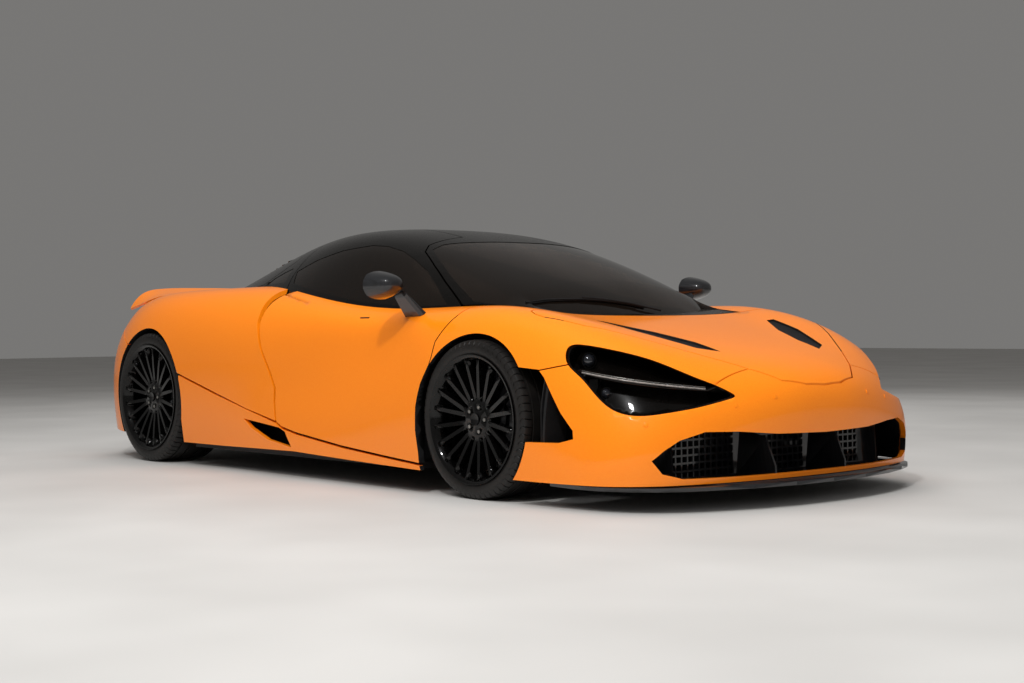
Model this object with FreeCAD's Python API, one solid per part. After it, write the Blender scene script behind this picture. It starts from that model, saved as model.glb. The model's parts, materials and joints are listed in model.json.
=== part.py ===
"""Mid-engined two-seat supercar with dihedral doors.

Frame: +X to the nose, +Y to the car's left, +Z up. The floor is Z = 0 and the
origin lies under the middle of the car. All numbers are millimetres.
Every body panel is cut from two closed solids, the lower body and the canopy,
each bounded by one smooth surface over a net of control points.
"""
import math
import os

import FreeCAD
import Part

V = FreeCAD.Vector

# Driving dimensions.
FRONT_AXLE, REAR_AXLE = 1171.0, -1499.0
FRONT_WHEEL = dict(x=FRONT_AXLE, r=327.0, width=245.0, lip=266.0, outer=947.0)
REAR_WHEEL = dict(x=REAR_AXLE, r=343.0, width=305.0, lip=279.0, outer=945.0)
FRONT_ARCH_R, REAR_ARCH_R = 368.0, 384.0      # wheel house radius
SKIN = 22.0                                   # body panel with its stiffening
CANOPY_SKIN = 28.0                            # canopy frame
GLASS = 6.0
GAP = 2.6                                     # half of a shut line
DOOR_DEPTH = 118.0
BONNET_AXIS = (1125.0, 750.0)                 # x, z
WING_ROD = (-1950.0, 300.0, 880.0)            # where the wing's rods leave its underside
WING_RISE = (-0.2873, 0.0, 0.9578)
JACK_PAD = ((700.0, -950.0), 700.0, 86.0)       # x of the front and rear pads, y, height of their faces
PAD_R = 40.0

# Control nets, left half.
STATIONS = [
    [(1900, 895, 60), (1960, 870, 60), (2015, 825, 60), (2065, 765, 60), (2105, 680, 60),
     (2138, 560, 60), (2168, 400, 60), (2190, 180, 60), (2190, 0, 60)],
    [(1882, 905, 60), (1950, 885, 92), (2010, 845, 118), (2068, 780, 145), (2115, 690, 170),
     (2158, 560, 190), (2198, 400, 205), (2228, 180, 210), (2228, 0, 210)],
    [(1850, 920, 60), (1925, 905, 140), (1995, 870, 200), (2065, 800, 252), (2118, 700, 290),
     (2170, 560, 316), (2218, 400, 330), (2253, 180, 334), (2253, 0, 334)],
    [(1790, 935, 60), (1880, 925, 190), (1955, 890, 275), (2030, 815, 340), (2090, 705, 385),
     (2148, 560, 412), (2205, 390, 428), (2250, 180, 436), (2250, 0, 436)],
    [(1715, 943, 60), (1795, 940, 215), (1872, 912, 335), (1945, 840, 425), (2012, 730, 482),
     (2078, 580, 500), (2145, 395, 507), (2200, 180, 510), (2200, 0, 510)],
    [(1620, 950, 60), (1672, 952, 235), (1730, 935, 380), (1790, 880, 510), (1850, 785, 592),
     (1915, 640, 612), (1990, 430, 588), (2055, 180, 578), (2055, 0, 578)],
    [(1500, 953, 60), (1525, 958, 250), (1555, 950, 410), (1595, 905, 565), (1638, 830, 675),
     (1690, 700, 708), (1752, 470, 660), (1802, 190, 648), (1802, 0, 648)],
    [(1345, 955, 60), (1352, 962, 260), (1362, 962, 425), (1380, 930, 600), (1402, 862, 738),
     (1432, 735, 778), (1475, 505, 722), (1517, 200, 710), (1517, 0, 710)],
    [(1150, 955, 60), (1150, 964, 260), (1150, 968, 430), (1152, 945, 618), (1155, 885, 762),
     (1160, 762, 812), (1175, 560, 776), (1200, 240, 764), (1200, 0, 764)],
    [(900, 950, 60), (900, 960, 260), (900, 962, 430), (900, 938, 610), (900, 890, 738), (900, 795, 796),
     (900, 600, 792), (900, 240, 800), (900, 0, 800)],
    [(560, 945, 60), (560, 954, 240), (560, 950, 410), (560, 898, 580), (560, 890, 718), (560, 800, 782),
     (560, 600, 815), (560, 240, 835), (560, 0, 835)],
    [(180, 942, 60), (180, 950, 235), (180, 918, 390), (180, 896, 590), (180, 896, 742), (180, 788, 808),
     (180, 590, 850), (180, 240, 870), (180, 0, 870)],
    [(-200, 938, 60), (-200, 946, 235), (-200, 908, 390), (-200, 922, 610), (-200, 893, 780),
     (-200, 770, 862), (-200, 570, 895), (-200, 240, 915), (-200, 0, 915)],
    [(-560, 920, 60), (-560, 938, 240), (-560, 938, 410), (-560, 950, 635), (-560, 885, 822),
     (-560, 752, 908), (-560, 560, 925), (-560, 240, 945), (-560, 0, 945)],
    [(-920, 915, 60), (-920, 942, 245), (-920, 952, 415), (-920, 962, 640), (-920, 892, 842),
     (-920, 748, 920), (-920, 560, 918), (-920, 240, 925), (-920, 0, 925)],
    [(-1280, 925, 60), (-1280, 955, 250), (-1280, 966, 425), (-1280, 970, 645), (-1280, 895, 850),
     (-1280, 745, 922), (-1280, 560, 905), (-1280, 240, 900), (-1280, 0, 900)],
    [(-1600, 930, 60), (-1600, 955, 260), (-1600, 966, 435), (-1600, 960, 645), (-1600, 885, 845),
     (-1600, 738, 917), (-1600, 550, 893), (-1600, 240, 880), (-1600, 0, 880)],
    [(-1850, 915, 60), (-1850, 935, 270), (-1852, 940, 440), (-1842, 925, 630), (-1830, 850, 800),
     (-1820, 715, 893), (-1815, 530, 880), (-1810, 240, 868), (-1810, 0, 868)],
    [(-2005, 850, 60), (-2040, 865, 250), (-2060, 865, 440), (-2045, 845, 610), (-2005, 785, 755),
     (-1970, 680, 860), (-1950, 510, 868), (-1940, 240, 862), (-1940, 0, 862)],
    [(-2070, 795, 60), (-2120, 800, 240), (-2150, 790, 440), (-2140, 765, 600), (-2105, 715, 735),
     (-2075, 630, 835), (-2060, 480, 862), (-2050, 240, 866), (-2050, 0, 866)],
    [(-2098, 765, 60), (-2150, 765, 195), (-2190, 745, 345), (-2215, 700, 480), (-2210, 640, 590),
     (-2185, 560, 680), (-2170, 420, 725), (-2162, 200, 735), (-2162, 0, 735)],
    [(-2110, 745, 60), (-2155, 725, 130), (-2195, 680, 225), (-2222, 610, 320), (-2235, 530, 400),
     (-2232, 430, 455), (-2228, 300, 485), (-2225, 150, 490), (-2225, 0, 490)],
    [(-2115, 730, 60), (-2140, 690, 60), (-2162, 630, 60), (-2180, 555, 60), (-2195, 460, 60),
     (-2206, 350, 60), (-2213, 240, 60), (-2218, 120, 60), (-2218, 0, 60)],
]

# Canopy: from the beltline up over the roof to the centre line.
# belt, glass low, glass mid, glass high, cant rail, roof side, near centre, centre
CANOPY = [
    [(1150, 672, 600), (1162, 655, 600), (1182, 625, 600), (1210, 580, 600), (1245, 510, 600),
     (1282, 420, 600), (1320, 300, 600), (1348, 150, 600), (1348, 0, 600)],
    [(1090, 694, 600), (1090, 690, 740), (1105, 650, 748), (1130, 590, 755), (1160, 520, 760),
     (1195, 430, 762), (1230, 310, 762), (1265, 150, 760), (1265, 0, 760)],
    [(930, 749, 600), (930, 745, 745), (950, 715, 790), (975, 660, 815), (1010, 590, 832),
     (1050, 490, 842), (1090, 350, 848), (1128, 160, 850), (1128, 0, 850)],
    [(700, 779, 600), (700, 775, 748), (715, 750, 815), (735, 700, 870), (765, 625, 912),
     (800, 520, 940), (835, 370, 960), (868, 170, 968), (868, 0, 968)],
    [(430, 794, 600), (430, 790, 750), (435, 765, 840), (445, 715, 925), (460, 640, 1000),
     (485, 530, 1045), (510, 380, 1072), (532, 170, 1084), (532, 0, 1084)],
    [(140, 796, 600), (140, 792, 760), (140, 765, 870), (140, 712, 980), (140, 635, 1080),
     (145, 530, 1135), (150, 380, 1160), (155, 170, 1172), (155, 0, 1172)],
    [(-160, 784, 600), (-160, 780, 780), (-160, 750, 890), (-160, 700, 1000), (-160, 625, 1100),
     (-160, 520, 1160), (-160, 370, 1188), (-160, 170, 1199), (-160, 0, 1199)],
    [(-460, 759, 600), (-460, 755, 800), (-460, 722, 890), (-460, 670, 985), (-460, 595, 1075),
     (-460, 495, 1140), (-460, 350, 1178), (-460, 160, 1193), (-460, 0, 1193)],
    [(-780, 709, 600), (-780, 705, 830), (-780, 665, 890), (-780, 610, 955), (-780, 540, 1025),
     (-780, 445, 1088), (-780, 310, 1130), (-780, 150, 1150), (-780, 0, 1150)],
    [(-1120, 634, 600), (-1120, 630, 850), (-1120, 590, 885), (-1120, 535, 925), (-1120, 465, 972),
     (-1120, 380, 1020), (-1120, 265, 1058), (-1120, 130, 1078), (-1120, 0, 1078)],
    [(-1450, 544, 600), (-1450, 540, 845), (-1450, 500, 868), (-1450, 450, 893), (-1450, 385, 923),
     (-1450, 310, 955), (-1450, 215, 980), (-1450, 110, 994), (-1450, 0, 994)],
    [(-1760, 444, 600), (-1760, 440, 835), (-1760, 400, 850), (-1760, 350, 864), (-1760, 290, 880),
     (-1760, 225, 896), (-1760, 155, 910), (-1760, 80, 918), (-1760, 0, 918)],
    [(-1830, 440, 600), (-1840, 420, 600), (-1850, 380, 600), (-1860, 335, 600), (-1868, 280, 600),
     (-1875, 220, 600), (-1880, 150, 600), (-1882, 80, 600), (-1882, 0, 600)],
]


# Surfaces and solids.
def whole(net):
    """The left half's rows with their mirror images, as one net from sill to sill."""
    return [row + [(x, -y, z) for x, y, z in row[-2::-1]] for row in net]


def basis(count, t):
    """First control index, cubic weights and their slopes at t = 0..1 on an even clamped knot row."""
    spans = count - 3
    s = min(max(t, 0.0), 1.0) * spans
    k = min(int(s), spans - 1)

    def knot(i):
        return float(min(max(i - 3, 0), spans))

    w = [1.0]
    slope = None
    for d in range(1, 4):
        nxt = [0.0] * (d + 1)
        low = [0.0] * (d + 1)
        for r in range(d):
            lo, hi = knot(k + 3 + r + 1 - d), knot(k + 3 + r + 1)
            share = w[r] / (hi - lo)
            nxt[r] += share * (hi - s)
            nxt[r + 1] += share * (s - lo)
            low[r] -= d * share
            low[r + 1] += d * share
        w, slope = nxt, low
    return k, w, slope


def surface_point(net, u, v, normal=False):
    i0, wu, su = basis(len(net), u)
    j0, wv, sv = basis(len(net[0]), v)
    p, du, dv = V(), V(), V()
    for a in range(4):
        row = net[i0 + a]
        for b in range(4):
            q = V(*row[j0 + b])
            p += q * (wu[a] * wv[b])
            if normal:
                du += q * (su[a] * wv[b])
                dv += q * (wu[a] * sv[b])
    return (p, dv.cross(du)) if normal else p


def inset(net, depth, drop=0.0):
    """The net moved inwards by depth, its rim kept level and lowered by drop."""
    rows, cols = len(net), len(net[0])

    def greville(i, count):
        spans = count - 3
        return sum(min(max(i + d - 3, 0), spans) for d in (1, 2, 3)) / 3.0 / spans

    out = []
    for i in range(rows):
        line = []
        for j in range(cols):
            _, n = surface_point(net, greville(i, rows), greville(j, cols), True)
            rim = i in (0, rows - 1) or j in (0, cols - 1)
            if rim:
                n.z = 0.0
            if n.Length < 1e-6:
                n = V(net[i][j][0], net[i][j][1], 0)
            n.normalize()
            c = V(*net[i][j])
            if n.dot(V(c.x * 0.35, c.y, 0 if rim else max(c.z - 400, 1))) < 0:
                n = n * -1
            q = c - n * depth
            line.append((q.x, q.y, c.z - drop if rim else q.z))
        out.append(line)
    return out


def net_face(net):
    nu, nv = len(net), len(net[0])
    s = Part.BSplineSurface()
    s.buildFromPolesMultsKnots(
        [[V(*p) for p in row] for row in net],
        [4] + [1] * (nu - 4) + [4], [4] + [1] * (nv - 4) + [4],
        [float(i) for i in range(nu - 2)], [float(i) for i in range(nv - 2)],
        False, False, 3, 3)
    return s.toShape()


def closed_solid(faces):
    shell = Part.Compound(faces)
    shell.sewShape()
    solid = Part.Solid(shell if shell.ShapeType == "Shell" else shell.Shells[0])
    if solid.Volume < 0:
        solid.reverse()
    return solid


def rim_wire(face):
    """The face's rim as free curves, so that a level face can be made on them."""
    rim = [e.Curve.toShape(e.FirstParameter, e.LastParameter) for e in face.OuterWire.Edges]
    return Part.Wire(Part.__sortEdges__(rim))


def net_solid(net):
    """Closed solid under the net's surface; the net's whole rim lies in one level plane."""
    top = net_face(net)
    floor = Part.Face(Part.Plane(V(0, 0, net[0][0][2]), V(0, 0, -1)), rim_wire(top))
    return closed_solid([top, floor])


def net_skin(outer, inner):
    """Solid between two nets' surfaces, whose rims lie in the same level plane."""
    a, b = net_face(outer), net_face(inner)
    ring = Part.Face([rim_wire(a), rim_wire(b)])
    if ring.Area > Part.Face(rim_wire(a)).Area:
        ring = Part.Face(rim_wire(a)).cut(Part.Face(rim_wire(b))).Faces[0]
    return closed_solid([a, b, ring])


def plate_solid(upper, lower):
    """Solid between two nets of the same layout, with ruled edges."""
    a, b = net_face(upper), net_face(lower)
    sides = [Part.makeRuledSurface(p, q) for p, q in zip(a.OuterWire.Edges, b.OuterWire.Edges)]
    return closed_solid([a, b] + sides)


def closed_wire(points, smooth):
    pts = [V(*p) for p in points]
    if smooth:
        c = Part.BSplineCurve()
        c.interpolate(pts, PeriodicFlag=True)
        return Part.Wire([c.toShape()])
    return Part.makePolygon(pts + [pts[0]])


def prism(points, plane, lo, hi, smooth=False, grow=0.0):
    """Prism over a closed outline: plane 'xz' runs along Y, 'xy' along Z and 'yz' along X."""
    if plane == "xz":
        pts, run = [(a, lo, b) for a, b in points], V(0, hi - lo, 0)
    elif plane == "xy":
        pts, run = [(a, b, lo) for a, b in points], V(0, 0, hi - lo)
    else:
        pts, run = [(lo, a, b) for a, b in points], V(hi - lo, 0, 0)
    face = Part.Face(closed_wire(pts, smooth))
    if grow:
        face = face.makeOffset2D(grow, 2 if grow > 0 else 0)
        face = Part.Face(face.OuterWire) if face.ShapeType != "Face" else face
    return face.extrude(run)


def aimed_prism(points, aim, back, forth, smooth=True):
    """Prism through 3-D outline points, run along the direction aim."""
    d = V(*aim)
    d.normalize()
    mid = sum((V(*p) for p in points), V()) * (1.0 / len(points))
    flat = []
    for p in points:
        q = V(*p)
        q = q - d * (q - mid).dot(d)
        flat.append(tuple(q - d * back))
    return Part.Face(closed_wire(flat, smooth)).extrude(d * (back + forth))


def box(x0, x1, y0, y1, z0, z1):
    return Part.makeBox(x1 - x0, y1 - y0, z1 - z0, V(x0, y0, z0))


def tube(a, b, r, hole=0.0):
    a, b = V(*a), V(*b)
    s = Part.makeCylinder(r, (b - a).Length, a, b - a)
    return s.cut(Part.makeCylinder(hole, (b - a).Length, a, b - a)) if hole else s


def fused(shapes):
    s = shapes[0]
    for t in shapes[1:]:
        s = s.fuse(t)
    return s.removeSplitter()


def minus(shape, *tools):
    for t in tools:
        shape = shape.cut(t)
    return shape


def biggest(shape):
    """The largest solid of a result, as one plain solid."""
    return max(shape.Solids, key=lambda s: s.Volume)


def mirrored(shape):
    return shape.mirror(V(0, 0, 0), V(0, 1, 0))


def rounded(points, r, plane, lo, hi):
    """Prism over a polygon whose corners are rounded by r."""
    s = prism(points, plane, lo, hi)
    run = {"xz": V(0, 1, 0), "xy": V(0, 0, 1), "yz": V(1, 0, 0)}[plane]
    along = [e for e in s.Edges if len(e.Vertexes) == 2 and
             abs(abs((e.Vertexes[1].Point - e.Vertexes[0].Point).dot(run)) - (hi - lo)) < 1e-6]
    return s.makeFillet(r, along)


# Outlines, left side.
# Seen from the side (x, z).
DOOR_LOW = [(-512, 960), (-473, 730), (-420, 608), (-350, 500), (-306, 419), (-304, 359), (-284, 262),
            (-230, 238), (-111, 216), (269, 173), (600, 146), (842, 128), (838, 180), (822, 271), (824, 369),
            (850, 465), (896, 545), (907, 580), (915, 643), (951, 696), (992, 752), (1010, 800),
            (940, 960)]
# space behind the door's rear edge; the jamb slants forward inboard, so that the door can swing out
DOOR_REAR = [(-509, 980), (-470, 730), (-417, 609), (-347, 501), (-303, 420), (-301, 359), (-281, 263),
             (-240, 150), (-900, 150), (-900, 980)]
DOOR_TOP = [(-560, 850), (-200, 800), (0, 765), (300, 742), (700, 735), (1040, 735), (1040, 1300), (-560, 1300)]
FENDER = [(896, 545), (907, 580), (915, 643), (951, 696), (992, 752), (1010, 800), (940, 960), (2096, 960),
          (2112, 470), (1900, 500), (1700, 560), (1552, 533), (1441, 542), (1200, 500)]
BUMPER = [(1200, 500), (1441, 542), (1552, 533), (1700, 560), (1900, 500), (2112, 470), (2096, 960), (2300, 960),
          (2300, 106), (1900, 100), (1563, 98), (1440, 98), (1200, 98)]
SILL = [(842, 122), (600, 140), (269, 167), (-111, 210), (-232, 232), (-284, 256), (-541, 313), (-809, 377),
        (-1150, 468), (-1150, 118), (-784, 118), (-128, 126), (344, 111), (850, 98)]
QUARTER = [(-541, 313), (-284, 262), (-304, 359), (-306, 419), (-350, 500), (-420, 608), (-473, 730),
           (-512, 960), (-1900, 1000), (-2110, 900), (-2150, 760), (-1890, 690), (-1760, 628), (-1500, 560),
           (-1150, 474), (-809, 383)]
TAIL = [(-1500, 560), (-1760, 628), (-1890, 690), (-2150, 760), (-2110, 900), (-2300, 900), (-2300, 170),
        (-2000, 150), (-1500, 130)]
SIDE_GLASS = [(-478, 925), (-166, 872), (79, 836), (258, 816), (478, 800), (690, 796), (775, 800),
              (665, 878), (530, 958), (398, 1016), (290, 1056), (165, 1084), (60, 1092), (-145, 1075),
              (-350, 1035), (-510, 985)]
QUARTER_GLASS = [(-588, 934), (-700, 930), (-832, 927), (-790, 957), (-690, 985), (-596, 1004)]
INTAKE = [(-562, 265), (-251, 234), (-201, 217), (-143, 145), (-354, 173), (-501, 224)]
ARCH_VENT = [(1400, 548), (1552, 533), (1585, 505), (1690, 373), (1757, 307), (1762, 275), (1689, 257),
             (1400, 250)]
# Seen from above (x, y).
DOOR_TOP_PLAN = [(1010, 950), (1000, 800), (880, 729), (780, 701), (676, 669), (533, 616), (400, 560),
                 (352, 500), (330, 400), (300, 255), (0, 235), (-330, 235), (-400, 300), (-450, 420),
                 (-500, 560), (-530, 660), (-512, 950)]
SCREEN_PLAN = [(1012, 640), (900, 690), (780, 664), (676, 634), (533, 580), (410, 525), (388, 440),
               (420, 220), (428, 0)]
BONNET_PLAN = [(1300, 0), (1297, 200), (1297, 400), (1306, 560), (1326, 690), (1352, 772), (1395, 790),
               (1450, 790), (1620, 735), (1783, 612), (1966, 455), (2111, 322), (2195, 225),
               (2222, 110), (2227, 0)]
WING_PLAN = [(-1788, 0), (-1786, 300), (-1772, 480), (-1754, 610), (-1742, 692), (-1800, 708), (-1935, 718),
             (-1935, 0)]
BONNET_VENT = [(1510, 518), (1514, 561), (1692, 512), (1910, 400), (1961, 313), (1838, 326), (1676, 395)]
DOOR_SLIT = [(-488, 768), (-334, 785), (-171, 810), (-171, 819), (-334, 794), (-488, 777)]
# the lamp's socket on the body's surface
LAMP = [(1649, 861, 600), (1651, 841, 627), (1699, 813, 632), (1784, 773, 617), (1931, 673, 572),
        (2068, 568, 502), (2149, 480, 450), (2164, 466, 434), (2155, 500, 420), (2117, 624, 394),
        (2056, 746, 374), (1968, 839, 369), (1910, 865, 387), (1826, 879, 445), (1740, 879, 513)]
LAMP_AIM = (0.70, 0.70, 0.12)
# the mouth, seen from the front (y, z)
MOUTH = [(805, 200), (765, 238), (712, 274), (613, 303), (474, 300), (285, 284), (0, 278)]
MOUTH_LOW = [(0, 128), (450, 126), (690, 128), (770, 150)]
TAIL_OPENING = [(640, 330), (660, 470), (610, 590), (520, 655), (380, 690), (0, 700)]


def both(points):
    """The outline of a shape across the middle, from its left half."""
    return points + [(x, -y) for x, y in points[::-1] if abs(y) > 1e-6]


def both_front(points):
    return points + [(-y, z) for y, z in points[::-1] if abs(y) > 1e-6]


def wheelhouse(w, r, inner=560.0, outer=1100.0):
    return Part.makeCylinder(r, outer - inner, V(w["x"], inner, w["r"]), V(0, 1, 0))


def build_body():
    """Panels of the body and canopy: {name: solid}; left pieces only, the right ones are mirrored."""
    out = {}
    net, top = whole(STATIONS), whole(CANOPY)
    left = box(-2400, 2400, 0, 1100, 0, 1300)
    skin = net_skin(net, inset(net, SKIN))
    thick = net_skin(net, inset(net, DOOR_DEPTH))
    canopy_gap = net_solid(inset(top, -5.6))
    cap = net_skin(top, inset(top, CANOPY_SKIN))
    glass = net_skin(inset(top, 2.0), inset(top, 2.0 + GLASS))
    body = net_solid(net)

    arch_f, arch_r = wheelhouse(FRONT_WHEEL, 351.0), wheelhouse(REAR_WHEEL, 366.0)
    house_f = wheelhouse(FRONT_WHEEL, 396.0, 540.0, 922.0)
    lamp = aimed_prism(LAMP, LAMP_AIM, 260, 200)
    vent = prism(ARCH_VENT, "xz", 700, 1000)
    side = skin.common(left)

    # doors
    low = thick.common(prism(DOOR_LOW, "xz", 500, 1100, grow=-GAP - 0.8))
    jamb = Part.Face(closed_wire([(x, 950, z) for x, z in DOOR_REAR], False)).extrude(V(0.42 * 400, -400, 0))
    slit = net_skin(inset(net, -6.0), inset(net, 16.0)).common(prism(DOOR_SLIT, "xy", 760, 920))
    low = minus(low, net_solid(inset(top, -0.3)), arch_f, house_f, jamb, slit)
    out["door_left"] = biggest(low)
    upper = cap.common(prism(DOOR_TOP_PLAN, "xy", 600, 1300, grow=-GAP))
    upper = upper.common(prism(DOOR_TOP, "xz", 0, 1000))
    upper = upper.cut(prism(SIDE_GLASS, "xz", 300, 1000))
    out["door_frame_left"] = biggest(upper)
    out["door_glass_left"] = biggest(glass.common(prism(SIDE_GLASS, "xz", 300, 1000)))

    # front
    bonnet_cut = prism(both(BONNET_PLAN), "xy", 400, 1000, grow=GAP)
    fender = side.common(prism(FENDER, "xz", 300, 1100, grow=-GAP))
    fender = minus(fender, bonnet_cut, lamp, arch_f, vent, canopy_gap, box(1000, 1340, 0, 568, 600, 900))
    out["front_fender_left"] = biggest(fender)
    bumper = side.common(prism(BUMPER, "xz", -10, 1100, grow=-GAP))
    mouth = prism(both_front(MOUTH) + [(-770, 150), (-690, 128), (-450, 126), (450, 126), (690, 128), (770, 150)],
                  "yz", 1850, 2400)
    bumper = minus(bumper, bonnet_cut, lamp, arch_f, vent, mouth)
    bumper = biggest(bumper)
    out["front_bumper"] = fused([bumper, mirrored(bumper)])
    lid = skin.common(prism(both(BONNET_PLAN), "xy", 400, 1000, grow=-GAP - 0.3))
    behind = prism(both(BONNET_PLAN), "xy", 400, 1000, grow=1.0)
    behind.translate(V(5.0, 0, 0))
    vents = [prism(BONNET_VENT, "xy", 500, 800, grow=g) for g in (0, -0.3)]
    lid = biggest(minus(lid.common(behind), vents[0], mirrored(vents[0])))
    out["bonnet_vent_left"] = biggest(net_skin(inset(net, 9.0), inset(net, SKIN - 1)).common(vents[1]))
    hx, hz = BONNET_AXIS
    arm = prism([(hx - 11, hz - 8), (hx, hz - 11), (1320, 690), (1400, 690), (1400, 790), (1310, 790), (1305, 722),
                 (hx, hz + 11), (hx - 11, hz + 8)], "xz", 552, 562)
    arm = arm.common(net_solid(inset(net, 9.0)))
    arm = arm.cut(Part.makeCylinder(6.05, 40, V(hx, 540, hz), V(0, 1, 0)))
    out["bonnet"] = biggest(lid.fuse([arm, mirrored(arm)]))

    # rear
    quarter = side.common(prism(QUARTER, "xz", 380, 1100, grow=-GAP))
    pocket = net_skin(inset(net, -30.0), inset(net, 18.0)).common(prism(both(WING_PLAN), "xy", 700, 1100, grow=6.5))
    out["rear_quarter_left"] = biggest(minus(quarter, canopy_gap, arch_r, pocket))
    sill = side.common(prism(SILL, "xz", 300, 1100, grow=-GAP))
    out["sill_left"] = biggest(minus(sill, arch_f, arch_r, prism(INTAKE, "xz", 800, 1100)))
    tail = skin.common(prism(TAIL, "xz", -1100, 1100, grow=-GAP))
    opening = prism(both_front(TAIL_OPENING), "yz", -2400, -2050)
    tail = minus(tail, arch_r, mirrored(arch_r), opening)
    under = prism([(-1900, 60), (-1900, 112), (-2130, 197), (-2262, 290), (-2400, 290), (-2400, 60)], "xz", -643, 643)
    out["rear_bumper"] = biggest(tail.cut(under))
    deck = skin.common(box(-2104, -1500, -380 + GAP, 380 - GAP, 600, 1000))
    d = V(*WING_RISE)
    holes = [Part.makeCylinder(18.6, 300, V(WING_ROD[0], s * WING_ROD[1], WING_ROD[2]) - d * 200, d) for s in (1, -1)]
    out["rear_deck"] = biggest(minus(deck, canopy_gap, pocket, *holes))
    cowl = skin.common(box(1000, 1306 - GAP, -546, 546, 600, 900))
    bonnet_gap = prism(both(BONNET_PLAN), "xy", 440, 1000, grow=2 * GAP)
    out["cowl"] = biggest(minus(cowl, bonnet_gap, canopy_gap))

    # canopy
    screen = prism(both(SCREEN_PLAN), "xy", 600, 1300)
    cover_plan = [(-640, 0), (-640, 300), (-600, 420), (-640, 560), (-900, 600), (-1300, 520), (-1700, 400),
                  (-2000, 300), (-2000, 0)]
    door_cut = prism(DOOR_TOP_PLAN, "xy", 600, 1300, grow=GAP + 1.5)
    low_cut = prism(DOOR_LOW, "xz", 400, 1100, grow=6).common(net_solid(inset(net, -6.0)))
    frame = minus(cap, screen, door_cut, mirrored(door_cut), low_cut, mirrored(low_cut),
                  box(-2400, 2400, -1000, 1000, 590, 735))
    cover = prism(both(cover_plan), "xy", 600, 1300, grow=-GAP)
    out["engine_cover"] = biggest(cap.common(cover).cut(body))
    frame = minus(frame, prism(both(cover_plan), "xy", 600, 1300, grow=GAP))
    hinge_room = box(1080, 1300, 545, 570, 600, 775)
    frame = minus(frame, box(-2400, -640, -1000, 1000, 500, 850), hinge_room, mirrored(hinge_room))
    pane = prism(QUARTER_GLASS, "xz", 300, 1000)
    out["roof_frame"] = biggest(minus(frame, pane, mirrored(pane)))
    out["quarter_glass_left"] = biggest(glass.common(prism(QUARTER_GLASS, "xz", 300, 1000, grow=-0.3)))
    out["windscreen"] = biggest(glass.common(screen))
    return out


# Wheels and running gear.
def turned(points, centre, smooth=False):
    """Solid of revolution about the wheel's Y axis; points are (y, radius)."""
    pts = [(centre[0], y, centre[2] + r) for y, r in points]
    return Part.Face(closed_wire(pts, smooth)).revolve(V(*centre), V(0, 1, 0), 360)


def arc_wire(points, bulges):
    """Closed wire through points; bulges holds a mid point for each side that is an arc."""
    edges = []
    for i, p in enumerate(points):
        q = points[(i + 1) % len(points)]
        if i in bulges:
            edges.append(Part.Arc(V(*p), V(*bulges[i]), V(*q)).toShape())
        else:
            edges.append(Part.LineSegment(V(*p), V(*q)).toShape())
    return Part.Wire(edges)


def tyre(w):
    x, r, b, y1 = w["x"], w["r"], w["width"], w["outer"]
    y0, lip = y1 - b, w["lip"]
    bead = lip - 11.7

    def at(y, rad):
        return (x, y, r + rad)

    pts = [at(y0 + 16, bead), at(y0 + 8, r - 20), at(y0 + 24, r - 2), at(y1 - 24, r - 2), at(y1 - 8, r - 20),
           at(y1 - 16, bead), at(y1 - 30, bead), at(y1 - 24, r - 26), at(y0 + 24, r - 26), at(y0 + 30, bead)]
    bulges = {0: at(y0, (bead + r) / 2 - 4), 1: at(y0 + 13, r - 7), 2: at((y0 + y1) / 2, r), 3: at(y1 - 13, r - 7),
              4: at(y1, (bead + r) / 2 - 4)}
    ring = Part.Face(arc_wire(pts, bulges)).revolve(V(x, 0, r), V(0, 1, 0), 360)
    flanges = [turned([(ya, bead - 1), (ya + 5 * s, lip + 0.3), (ya + 20 * s, lip + 0.3), (ya + 20 * s, bead - 1)],
                      (x, 0.0, r)) for ya, s in ((y1 - 13.3, 1), (y0 + 13.3, -1))]
    return biggest(minus(ring, *flanges))


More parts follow.
